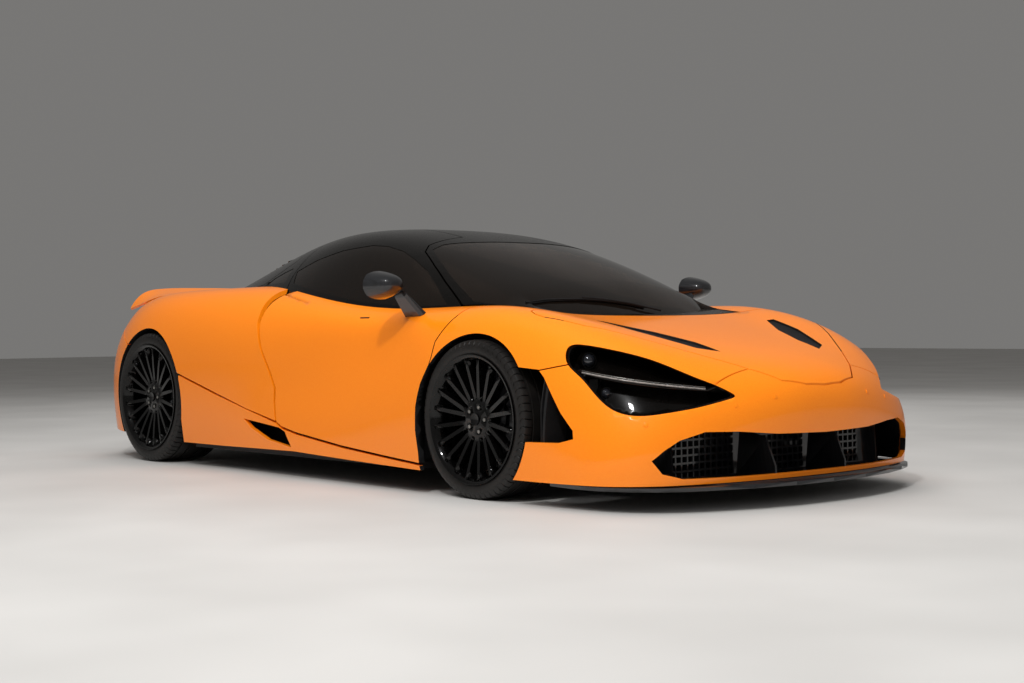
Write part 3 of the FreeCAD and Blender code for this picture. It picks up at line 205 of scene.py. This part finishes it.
def tyre_rubber():
    """Vulcanised rubber: charcoal, dull, a little dusty on the flanks."""
    mat, tree, shader = finish("tyre_rubber", Specular_IOR_Level=0.45)
    tint(tree, shader, grain(tree, 70.0, 4.0), "0E0C0B", "181513")
    rough(tree, shader, grain(tree, 15.0), 0.42, 0.62)
    bump(tree, shader, grain(tree, 3.0, 3.0), 0.15, 0.3)
    return mat


def cast_alloy():
    """Cast aluminium: grey with a sandy skin."""
    mat, tree, shader = finish("cast_alloy", Metallic=0.9)
    tint(tree, shader, grain(tree, 40.0), "4E5052", "6A6C6E")
    rough(tree, shader, grain(tree, 10.0), 0.45, 0.65)
    bump(tree, shader, grain(tree, 2.0, 3.0), 0.2, 0.4)
    return mat


def brake_steel():
    """Ground grey iron: dark ring with a faint turned sheen."""
    mat, tree, shader = finish("brake_steel", Metallic=1.0)
    tint(tree, shader, grain(tree, 25.0), "3A3A3B", "58585A")
    rough(tree, shader, grain(tree, 6.0), 0.3, 0.45)
    return mat


def caliper_black():
    """Anodised aluminium: a dark caliper and upright with a satin sheen."""
    mat, tree, shader = finish("caliper_black", Metallic=0.4, Coat_Weight=0.4)
    tint(tree, shader, grain(tree, 30.0), "17171A", "222225")
    rough(tree, shader, grain(tree, 8.0), 0.35, 0.5)
    return mat


def suede():
    """Brushed microfibre: near black, soft sheen."""
    mat, tree, shader = finish("suede", Sheen_Weight=0.6, Sheen_Roughness=0.4)
    tint(tree, shader, grain(tree, 35.0, 4.0), "141415", "232324")
    rough(tree, shader, grain(tree, 8.0), 0.8, 0.95)
    bump(tree, shader, grain(tree, 1.5, 2.0), 0.2, 0.4)
    return mat


def guide_streak():
    """Frosted polycarbonate: an unlit light guide, milky grey, partly its own colour and partly a
    painted highlight, the bright streak along the lamp's blade.
    """
    mat, tree, shader = finish("guide_streak", Roughness=0.25, Coat_Weight=0.5)
    tint(tree, shader, grain(tree, 10.0), "6E6864", "9A948F")
    return mat


def lamp_red():
    """Red polycarbonate: a smooth, deep red lens."""
    mat, tree, shader = finish("lamp_red", Roughness=0.15, Coat_Weight=0.6)
    tint(tree, shader, grain(tree, 12.0), "7A0608", "A00C0E")
    return mat


def satin_chrome():
    """Blasted stainless steel: exhaust rings, wheel bolts and lamp ribs, pale and half matt; the
    lamp ribs stand in for a bright streak, a painted highlight.
    """
    mat, tree, shader = finish("satin_chrome", Metallic=1.0)
    tint(tree, shader, grain(tree, 20.0), "9A9894", "B5B2AD")
    rough(tree, shader, grain(tree, 7.0), 0.22, 0.36)
    return mat


def lens_glass():
    """Moulded polycarbonate lens over a dark reflector: glassy, nearly black."""
    mat, tree, shader = finish("lens_glass", Metallic=0.3, Roughness=0.08, Coat_Weight=1.0,
                               Coat_Roughness=0.02)
    tint(tree, shader, grain(tree, 30.0, 0.0), "15161A", "24262B")
    return mat


def mirror_glass():
    """Silvered glass: a clear, bright reflection."""
    mat, tree, shader = finish("mirror_glass", Metallic=1.0, Roughness=0.03)
    tint(tree, shader, grain(tree, 200.0, 0.0), "C4C8CC", "CDD1D5")
    return mat


ORANGE = orange_enamel()
GLASS = tinted_screen()
CARBON = carbon_twill()
GLOSS = piano_black()
RIM = rim_black()
PLASTIC = moulded_black()
RUBBER = tyre_rubber()
ALLOY = cast_alloy()
DISC = brake_steel()
CALIPER = caliper_black()
SUEDE = suede()
STREAK = guide_streak()
RED = lamp_red()
STEEL = satin_chrome()
LENS = lens_glass()
SILVER = mirror_glass()


# Mesh helpers.
def deselect():
    """Leaves nothing selected."""
    bpy.ops.object.select_all(action="DESELECT")


def alone(obj):
    """Makes an object the whole selection."""
    deselect()
    obj.select_set(True)
    bpy.context.view_layer.objects.active = obj
    return obj


def linked(name, data):
    """A new object of the scene that shows data."""
    obj = bpy.data.objects.new(name, data)
    bpy.context.scene.collection.objects.link(obj)
    return obj


def paint(node, mat):
    """Gives a CAD node its material."""
    data = NODES[node].data
    data.materials.clear()
    data.materials.append(mat)


def body_of(node):
    """The body that a CAD node rides on."""
    return NODES[node]["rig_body"]


def node_copy(node, name):
    """A free copy of a CAD node with its doubles merged."""
    obj = NODES[node].copy()
    obj.data = NODES[node].data.copy()
    obj.name = name
    bpy.context.scene.collection.objects.link(obj)
    for key in list(obj.keys()):
        if key.startswith("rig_"):
            del obj[key]
    obj.parent = None
    obj.matrix_world = Matrix.Identity(4)
    mesh = bmesh.new()
    mesh.from_mesh(obj.data)
    bmesh.ops.remove_doubles(mesh, verts=mesh.verts, dist=0.00002)
    mesh.to_mesh(obj.data)
    mesh.free()
    return obj


def smoothed(node, mat, angle=28, zones=()):
    """A copy of a node with its curved faces smooth, which stands for the node.

    zones holds (material, test of a face's centre and normal) for faces of another finish.
    """
    obj = node_copy(node, node + "_skin")
    obj.data.materials.clear()
    obj.data.materials.append(mat)
    for other, _ in zones:
        obj.data.materials.append(other)
    for poly in obj.data.polygons:
        poly.material_index = 0
        for number, (_, test) in enumerate(zones, 1):
            if test(poly.center, poly.normal):
                poly.material_index = number
    alone(obj)
    bpy.ops.object.shade_smooth_by_angle(angle=math.radians(angle))
    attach(obj, body_of(node))
    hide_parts(node)
    return obj


def placed(obj):
    """Puts the object's place, turn and scale into its mesh."""
    alone(obj)
    bpy.ops.object.transform_apply(location=True, rotation=True, scale=True)
    return obj


def close_up(obj, name, mat, body, angle=35):
    """Gives a finished piece its name, material and shading and lets it ride."""
    obj.name = name
    placed(obj)
    obj.data.materials.clear()
    obj.data.materials.append(mat)
    bpy.ops.object.shade_smooth_by_angle(angle=math.radians(angle))
    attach(obj, body)
    return obj


def primitive(kind, **settings):
    """A mesh primitive, alone in the selection."""
    deselect()
    getattr(bpy.ops.mesh, "primitive_" + kind + "_add")(**settings)
    return bpy.context.object


def modified(obj, kind, **settings):
    """Adds a modifier and applies it."""
    alone(obj)
    mod = obj.modifiers.new("shape", kind)
    for key, value in settings.items():
        setattr(mod, key, value)
    bpy.ops.object.modifier_apply(modifier=mod.name)
    return obj


def edit():
    """Enters edit mode."""
    bpy.ops.object.mode_set(mode="EDIT")


def leave():
    """Leaves edit mode."""
    bpy.ops.object.mode_set(mode="OBJECT")


def pick(obj, test, kind="FACE"):
    """Enters edit mode with only those faces or edges selected that pass the test.

    It is given a face's centre and normal, or an edge's two ends.
    """
    alone(obj)
    edit()
    bpy.ops.mesh.select_mode(type=kind)
    bpy.ops.mesh.select_all(action="DESELECT")
    leave()
    data = obj.data
    if kind == "FACE":
        for poly in data.polygons:
            poly.select = test(poly.center, poly.normal)
    else:
        for line in data.edges:
            line.select = test(*[data.vertices[i].co for i in line.vertices])
    edit()


def joined(parts):
    """Joins finished parts into the first."""
    deselect()
    for part in parts:
        part.select_set(True)
    bpy.context.view_layer.objects.active = parts[0]
    bpy.ops.object.join()
    return parts[0]


def copied(obj, move):
    """A copy with its own mesh, moved."""
    twin = obj.copy()
    twin.data = obj.data.copy()
    bpy.context.scene.collection.objects.link(twin)
    twin.location = twin.location + Vector(move)
    return placed(twin)


def aimed(direction):
    """Euler angles that turn a primitive's Z axis to a direction."""
    return Vector(direction).to_track_quat("Z", "Y").to_euler()


def ray_tree(data):
    """A mesh made ready for on_skin."""
    return BVHTree.FromPolygons([v.co for v in data.vertices],
                                [p.vertices for p in data.polygons])


TREES = {}


def on_skin(names, point, heading):
    """Where a line from point along heading first meets one of those named, and the normal.

    A name is a CAD node's, or that of a piece with a tree of its own.
    """
    hits = []
    for name in names:
        if name not in TREES:
            TREES[name] = ray_tree(NODES[name].data)
        where, normal, _, far = TREES[name].ray_cast(Vector(point), Vector(heading))
        if where:
            hits.append((far, where, normal))
    _, where, normal = min(hits, key=lambda hit: hit[0], default=(0, None, None))
    return where, normal


def strip(name, names, starts, lift, thick, mat, body, heading=DOWN):
    """A round bar laid on a skin where lines from starts along heading meet it.

    Its middle stands off the skin by lift.
    """
    met = [on_skin(names, start, heading) for start in starts]
    met = [(where, normal) for where, normal in met
           if where and normal.dot(Vector(heading)) < -0.5]
    line = bpy.data.curves.new(name, "CURVE")
    line.dimensions = "3D"
    spline = line.splines.new("POLY")
    spline.points.add(len(met) - 1)
    for point, (where, normal) in zip(spline.points, met):
        point.co = (*(where + normal * lift), 1)
    line.bevel_depth = thick / 2
    line.bevel_resolution = 3
    line.use_fill_caps = True
    alone(linked(name, line))
    bpy.ops.object.convert(target="MESH")
    return close_up(bpy.context.object, name, mat, body, 60)


# Panels, glass and plain nodes.
def inner_side(c, n):
    """Faces of a side panel that look into a wheel arch or at the car's inside. They take the
    moulded black: partly the dark lining behind them, partly painted shade.
    """
    arch_reach, panel_zone = 0.46, 0.45
    for wheel in WHEELS:
        away = Vector((c.x - wheel.x, 0, c.z - wheel.r))
        if away.length < arch_reach and away.dot(n) < -0.6 * away.length:
            return True
    outwards = 1 if c.y > 0 else -1
    return n.y * outwards < -0.72 and abs(c.y) > panel_zone


def under_bonnet(c, n):
    """The bonnet's underside, and the walls of its vents, which lie inside its outline. They take
    the moulded black: painted shade in the vents and under the bonnet.
    """
    if n.z < -0.3:
        return True
    return abs(n.z) < 0.6 and 1.45 < c.x < 1.99 and abs(c.y) < 0.685 - (c.x - 1.62) * 0.81


# inner faces of the panels take moulded black: partly the real lining, partly painted shade
for name in ("front_bumper", "front_fenders", "rear_quarters", "sills", "rear_bumper",
             "door_left", "door_right"):
    smoothed(name, ORANGE, zones=[(PLASTIC, inner_side)])
smoothed("bonnet", ORANGE, zones=[(PLASTIC, under_bonnet)])
for name in ("rear_deck", "rear_wing"):
    smoothed(name, ORANGE)
for name in ("windscreen", "door_glass_left", "door_glass_right", "quarter_glasses"):
    smoothed(name, GLASS)
for name in ("roof_frame", "door_frame_left", "door_frame_right", "engine_cover", "cowl"):
    smoothed(name, GLOSS)
for name in ("mirror_left", "mirror_right", "front_splitter"):
    smoothed(name, CARBON)
for name in ("tub", "undertray", "dashboard", "arch_liners", "bonnet_vents", "tail_mesh"):
    paint(name, PLASTIC)
for name in ("rear_frame", "front_axle", "rear_axle", "engine_block"):
    paint(name, ALLOY)
paint("tail_lamps", RED)
smoothed("headlamps", GLOSS, 40)


# Wheels, with their brake discs, and the uprights with the calipers.
def brake_disc(wheel):
    """The test that finds the faces of the brake disc, which is one solid with its wheel."""
    near, far, disc_r = 0.108, 0.172, 0.20
    return lambda c, n: (wheel.face - far < abs(c.y) < wheel.face - near
                         and math.hypot(c.x - wheel.x, c.z - wheel.r) < disc_r)


for side, _ in SIDES:
    for wheel in WHEELS:
        smoothed("wheel_%s_%s" % (wheel.end, side), RIM, 35, [(DISC, brake_disc(wheel))])
    smoothed("upright_front_" + side, CALIPER, 35)


# Tyres.
def tyre(name, wheel, sign):
    """A carcass spun from its section, with ring grooves and slanted shoulder grooves."""
    width, radius = wheel.width, wheel.r
    half = width / 2
    inner_flank = sign * (wheel.face - width)
    # the section in Y from the inner flank and in distance from the axle
    bead = wheel.lip - 0.0115
    belly = (bead + radius) / 2
    flank = [(0.016, bead), (0.009, bead + 0.012), (0.0035, belly - 0.010),
             (0.004, belly + 0.008), (0.0095, radius - 0.019), (0.0145, radius - 0.0085),
             (0.024, radius - 0.003)]
    crown_drop, groove = 0.003, ((-0.0055, 0.0), (-0.004, -0.0065), (0.004, -0.0065), (0.0055, 0.0))
    for share in (0.20, 0.38):
        centre = share * width
        for dy, dr in groove:
            flank.append((centre + dy, radius - crown_drop * (1 - centre / half) ** 2 + dr))
    section = flank + [(half, radius)] + [(width - y, r) for y, r in flank[::-1]]
    section += [(width - 0.030, bead), (width - 0.024, radius - 0.026), (0.024, radius - 0.026),
                (0.030, bead)]
    steps = 256
    mesh = bmesh.new()
    ring = [mesh.verts.new((wheel.x, inner_flank + sign * y, radius + r)) for y, r in section]
    edges = [mesh.edges.new((ring[i - 1], ring[i])) for i in range(len(ring))]
    bmesh.ops.spin(mesh, geom=ring + edges, cent=(wheel.x, 0, radius), axis=(0, 1, 0),
                   angle=math.tau, steps=steps, use_merge=True)
    bmesh.ops.remove_doubles(mesh, verts=mesh.verts, dist=0.0001)
    bmesh.ops.recalc_face_normals(mesh, faces=mesh.faces)
    # shoulder grooves: every fourth section is pressed in and its neighbours are drawn to it
    depth, drawn, slant = 0.0055, 0.6, 0.05
    tread, rim_edge, shoulder = radius - 0.02, 0.009, half - 0.20 * width + 0.0045
    for v in mesh.verts:
        angle = math.atan2(v.co.z - radius, v.co.x - wheel.x)
        away = math.hypot(v.co.x - wheel.x, v.co.z - radius)
        if away < tread:
            continue
        across = abs(v.co.y - inner_flank)
        turn = round(angle / math.tau * steps) % 4
        angle += (0, -drawn, 0, drawn)[turn] * math.tau / steps
        angle += slant * abs(across - half) / half
        if turn == 0 and min(across, width - across) > rim_edge and abs(across - half) > shoulder:
            away -= depth
        v.co.x, v.co.z = wheel.x + away * math.cos(angle), radius + away * math.sin(angle)
    data = bpy.data.meshes.new(name)
    mesh.to_mesh(data)
    mesh.free()
    return linked(name, data)


for side, sign in SIDES:
    for wheel in WHEELS:
        node = "tyre_%s_%s" % (wheel.end, side)
        obj = tyre(node + "_rubber", wheel, sign)
        close_up(obj, node + "_rubber", RUBBER, body_of(node), 30)
        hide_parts(node)


# Cabin.
def soft_copy(node, name, voxel, mat):
    """A padded piece remeshed from its block and softened."""
    obj = node_copy(node, name)
    modified(obj, "REMESH", mode="VOXEL", voxel_size=voxel)
    modified(obj, "SMOOTH", factor=0.5, iterations=8)
    close_up(obj, name, mat, body_of(node), 60)
    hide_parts(node)
    return obj


soft_copy("seats", "seat_pads", 0.012, SUEDE)
smoothed("steering_wheel", SUEDE, 40)


# Wheels: a centre cap, and five bolts in their seats.
def wheel_disc(wheel, sign, sides, radius, depth, out, sunk, rim, step):
    """A disc or hexagon facing outwards, its middle raised by step within a rim.

    out is its distance from the hub towards the nose, sunk that of its middle from the face.
    """
    disc = primitive("cylinder", vertices=sides, radius=radius, depth=depth,
                     location=(wheel.x + out, sign * (wheel.face - sunk), wheel.r),
                     rotation=(math.pi / 2, 0, 0))
    pick(placed(disc), lambda c, n: n.y * sign > 0.9)
    bpy.ops.mesh.inset(thickness=rim)
    bpy.ops.transform.translate(value=(0, step * sign, 0))
    leave()
    return disc


def wheel_trim(wheel, side, sign):
    """The centre cap and the bolts of one wheel."""
    name = "%s_%s" % (wheel.end, side)
    cap = wheel_disc(wheel, sign, 40, 0.0255, 0.010, 0, 0.027, 0.006, -0.0025)
    modified(cap, "BEVEL", width=0.0012, segments=2, limit_method="ANGLE")
    close_up(cap, name + "_cap", RIM, "wheel_" + name)
    bolt_count, bolt_circle = 5, 0.052
    bolt = wheel_disc(wheel, sign, 6, 0.0085, 0.020, bolt_circle, 0.040, 0.002, 0.002)
    bolts = [bolt]
    for number in range(1, bolt_count):
        turn = math.tau * number / bolt_count
        bolts.append(copied(bolt, (bolt_circle * (math.cos(turn) - 1), 0,
                                   bolt_circle * math.sin(turn))))
    close_up(joined(bolts), name + "_bolts", STEEL, "wheel_" + name)


for side, sign in SIDES:
    for wheel in WHEELS:
        wheel_trim(wheel, side, sign)


# Lamps: two projector lenses in each bowl.
def projector(name, at, size, sign):
    """A ball lens in a short tube, aimed forwards."""
    x, y, z = at
    place = Vector((x, sign * y, z))
    aim = Vector((0.94, 0.30 * sign, 0.0)).normalized()
    tube = primitive("cylinder", vertices=40, radius=size * 1.22, depth=size * 1.4,
                     end_fill_type="NOTHING", location=place - aim * size * 0.4,
                     rotation=aimed(aim))
    modified(placed(tube), "SOLIDIFY", thickness=0.003)
    close_up(tube, name + "_tube", GLOSS, "body")
    ball = primitive("uv_sphere", segments=32, ring_count=16, radius=size, location=place)
    close_up(ball, name + "_lens", LENS, "body", 60)


for side, sign in SIDES:
    projector("upper_lamp_" + side, (1.700, 0.790, 0.570), 0.026, sign)
    projector("lower_lamp_" + side, (1.800, 0.795, 0.445), 0.020, sign)


# Exhaust: bright rings on the ends of the two pipes, square to them.
PIPE_END_X, PIPE_END_Y, PIPE_END_Z = -2.226, 0.120, 0.560
PIPE_AIM = (-0.9803, 0, 0.1977)
for side, sign in SIDES:
    ring = primitive("torus", major_radius=0.053, minor_radius=0.0042, major_segments=64,
                     minor_segments=12, location=(PIPE_END_X, sign * PIPE_END_Y, PIPE_END_Z),
                     rotation=aimed(PIPE_AIM))
    close_up(ring, "exhaust_ring_" + side, STEEL, "body", 60)


# Parking sensors in the nose.
def sensor(name, point, heading):
    """A small disc in the bumper's skin where a line from point along heading meets it."""
    where, normal = on_skin(["front_bumper"], point, heading)
    disc = primitive("cylinder", vertices=28, radius=0.0095, depth=0.004, location=where,
                     rotation=aimed(normal))
    modified(placed(disc), "BEVEL", width=0.0008, segments=2, limit_method="ANGLE")
    close_up(disc, name, ORANGE, "body")


SENSORS = ((2.022, 0.808, 0.335), (2.217, 0.293, 0.427), (2.176, 0.474, 0.399))
SENSOR_FOCUS = 1.2                       # the point of the centre line that they look away from
for number, (x, y, z) in enumerate(SENSORS):
    for side, sign in SIDES:
        aim = Vector((x - SENSOR_FOCUS, sign * y, 0)).normalized()
        sensor("nose_sensor_%d_%s" % (number, side), Vector((x, sign * y, z)) + aim * 0.2, -aim)


# Mirrors: a glass with round corners in each housing.
for side, sign in SIDES:
    low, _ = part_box("mirror_" + side)
    pane = primitive("cube", size=1, location=(low[0] + 0.016, sign * 0.986, 0.887),
                     scale=(0.004, 0.150, 0.092))
    pick(placed(pane), lambda a, b: abs(a.x - b.x) > 0.002, "EDGE")
    bpy.ops.mesh.bevel(offset=0.036, segments=8, affect="EDGES")
    leave()
    close_up(pane, "mirror_glass_" + side, SILVER, "door_" + side)


# The windscreen's foot: its glass carried on down to the cowl.
def cowl_edge(y):
    """The first covered point ahead of the windscreen at that y."""
    ahead = ("cowl", "front_fenders", "bonnet", "door_left", "door_right")
    first, pace = 1.018, 0.004
    for step in range(80):
        where, _ = on_skin(ahead, (first + pace * step, y, OVERHEAD), DOWN)
        if where and where.z > 0.70:
            return where
    return Vector((1.29, y, 0.75))


def screen_foot(columns=48, rows=10, half_width=0.648):
    """A band of glass that leaves the windscreen in its slope and bends down to the cowl."""
    screen_end, slope_run, inset, tuck = 1.008, 0.030, 0.985, 0.004
    band = primitive("grid", x_subdivisions=columns, y_subdivisions=rows, size=1)
    for v in band.data.vertices:
        across, down = v.co.x * 2, v.co.y + 0.5
        y = across * half_width
        upper, _ = on_skin(["windscreen"], (screen_end, y * inset, OVERHEAD), DOWN)
        behind, _ = on_skin(["windscreen"], (screen_end - slope_run, y * inset, OVERHEAD), DOWN)
        low = cowl_edge(y)
        reach = low.x - upper.x
        fall = (upper.z - behind.z) / slope_run * reach
        z = upper.z + fall * down + (low.z - tuck - upper.z - fall) * down ** 2
        v.co = (upper.x + reach * down, y, z)
    modified(band, "SOLIDIFY", thickness=0.005, offset=-1)
    modified(band, "WELD", merge_threshold=0.0004)
    edit()
    bpy.ops.mesh.select_all(action="SELECT")
    bpy.ops.mesh.normals_make_consistent(inside=False)
    leave()
    close_up(band, "screen_foot", GLASS, "body", 50)
    TREES["screen_foot"] = ray_tree(band.data)


screen_foot()


# The wiper at the foot of the windscreen.
def between(a, b, steps):
    """Points above the car on a straight line seen from above."""
    return [(a[0] + (b[0] - a[0]) * i / steps, a[1] + (b[1] - a[1]) * i / steps, OVERHEAD)
            for i in range(steps + 1)]


for name, path, lift, thick in (
        ("wiper_rubber", between((1.222, 0.02), (1.084, -0.560), 14), 0.004, 0.008),
        ("wiper_spine", between((1.219, -0.02), (1.088, -0.530), 14), 0.010, 0.008),
        ("wiper_arm", between((1.250, 0.090), (1.145, -0.290), 8), 0.015, 0.010)):
    strip(name, ["screen_foot", "windscreen"], path, lift, thick, PLASTIC, "body")


# A slatted panel behind each vent in front of the wheel arches.
for side, sign in SIDES:
    panel = [primitive("cube", size=1, location=(1.674, sign * 0.800, 0.365),
                       scale=(0.204, 0.006, 0.270))]
    for number in range(5):
        panel.append(primitive("cube", size=1,
                               location=(1.592 + 0.041 * number, sign * 0.817, 0.365),
                               rotation=(0, 0, sign * 0.5), scale=(0.005, 0.034, 0.268)))
    close_up(joined(panel), "arch_slats_" + side, GLOSS, "body")


# The slot of the release button below each side window: a dark strip on the door, painted shade in
# the recess.
for side, sign in SIDES:
    path = [(0.365 - 0.012 * number, sign * 1.2, 0.748) for number in range(6)]
    strip("door_slot_shade_" + side, ["door_" + side], path, -0.001, 0.008, PLASTIC, "door_" + side,
          (0, -sign, 0))


# Slats across the engine cover, each behind the last and a little narrower.
for row in range(7):
    x = -1.02 - 0.085 * row
    reach = 0.36 - 0.018 * row
    path = [(x, y * reach / 8, OVERHEAD) for y in range(-8, 9)]
    strip("cover_slat_%d" % row, ["engine_cover"], path, 0.003, 0.012, GLOSS, "body")


# Light guides along the blade of each headlamp, with small lenses towards its tip. The guides'
# milky grey is partly a painted highlight, the steel rib above each is a painted streak, and the
# lenses are silver as painted glints.
BLADE = ((1.735, 0.858), (1.80, 0.838), (1.85, 0.815), (1.90, 0.79), (1.94, 0.757), (1.98, 0.72),
         (2.015, 0.68), (2.05, 0.635), (2.075, 0.597), (2.10, 0.56))


def blade_path(sign, rise):
    """Points outside a headlamp, level with its blade; rise lifts them off its middle."""
    outside, root_x, root_z, slope = 0.2, 1.690, 0.530, 0.178
    return [Vector((x + outside, sign * (y + outside),
                    root_z - slope * (x - 0.022 - root_x) + rise)) for x, y in BLADE]


for side, sign in SIDES:
    inwards = Vector((-0.7, -0.7 * sign, 0)).normalized()
    # the guide's grey is partly a painted highlight streak; the rib above it is a second painted
    # streak
    strip("light_guide_streak_" + side, ["headlamps"], blade_path(sign, -0.001), 0.0005, 0.0075, STREAK,
          "body", inwards)
    strip("streak_rib_" + side, ["headlamps"], blade_path(sign, 0.0065), 0.0005, 0.003, STEEL,
          "body", inwards)
    # small lenses drawn as silver balls so that they glint: painted glints
    spots = []
    for start in blade_path(sign, 0.004)[5:9]:
        where, _ = on_skin(["headlamps"], start, inwards)
        if where:
            spots.append(primitive("uv_sphere", segments=16, ring_count=8, radius=0.0048,
                                   location=where))
    if spots:
        close_up(joined(spots), "lens_glints_" + side, SILVER, "body", 60)


# Floor and surroundings.
world = bpy.data.worlds.new("studio")
bpy.context.scene.world = world
world.use_nodes = True
sky = world.node_tree.nodes["Background"]
sky.inputs["Color"].default_value = colour("E4E2DF")
sky.inputs["Strength"].default_value = 0.24

bpy.ops.mesh.primitive_plane_add(size=60)
floor = bpy.context.object
floor.name = "floor"
floor_mat, floor_tree, floor_shader = finish("pale_floor", Roughness=0.7)
tint(floor_tree, floor_shader, grain(floor_tree, 900.0), "B9B7B4", "C4C2BF")
floor.data.materials.append(floor_mat)


# Lights.
def softbox(name, where, aim, size, power):
    """A rectangular light of that size at where, turned to aim."""
    data = bpy.data.lights.new(name, "AREA")
    data.shape = "RECTANGLE"
    data.size, data.size_y = size
    data.energy = power
    obj = linked(name, data)
    obj.location = where
    obj.rotation_mode = "QUATERNION"
    obj.rotation_quaternion = (Vector(aim) - Vector(where)).to_track_quat("-Z", "Y")
    return obj


softbox("sun", (4.2, -5.5, 7.0), (0.6, 0, 0.4), (0.5, 0.5), 250)
for light in (softbox("key", (3.0, -5.0, 5.5), (0.2, 0, 0.5), (6.0, 4.0), 290),
              softbox("top", (0.0, -0.5, 7.0), (0, 0, 0.5), (8.0, 5.0), 300),
              softbox("far side", (-4.0, 5.5, 5.0), (0, 0, 0.6), (6.0, 3.0), 170),
              softbox("low front", (6.5, -1.0, 2.2), (1.0, 0, 0.3), (4.0, 2.0), 35)):
    light.visible_glossy = False

# Camera, in radians and metres, with its lens and sensor in millimetres.
YAW, PITCH, ROLL = 0.8465817, -0.01087745, -0.00868585
CAMERA_PLACE = (6.14674285, -5.11738599, 0.71401797)
FOCAL_LENGTH, SENSOR_WIDTH = 56.17, 36.0
ahead = Vector((-math.sin(YAW) * math.cos(PITCH), math.cos(YAW) * math.cos(PITCH),
                math.sin(PITCH)))
level = Vector((math.cos(YAW), math.sin(YAW), 0))
above = level.cross(ahead)
right = level * math.cos(ROLL) + above * math.sin(ROLL)
up = above * math.cos(ROLL) - level * math.sin(ROLL)
optics = bpy.data.cameras.new("camera")
optics.sensor_width = SENSOR_WIDTH
optics.lens = FOCAL_LENGTH
optics.clip_end = 100.0
camera = linked("camera", optics)
pose = Matrix((right, up, -ahead)).transposed().to_4x4()
pose.translation = Vector(CAMERA_PLACE)
camera.matrix_world = pose
bpy.context.scene.camera = camera
bpy.context.scene.view_settings.view_transform = "Standard"
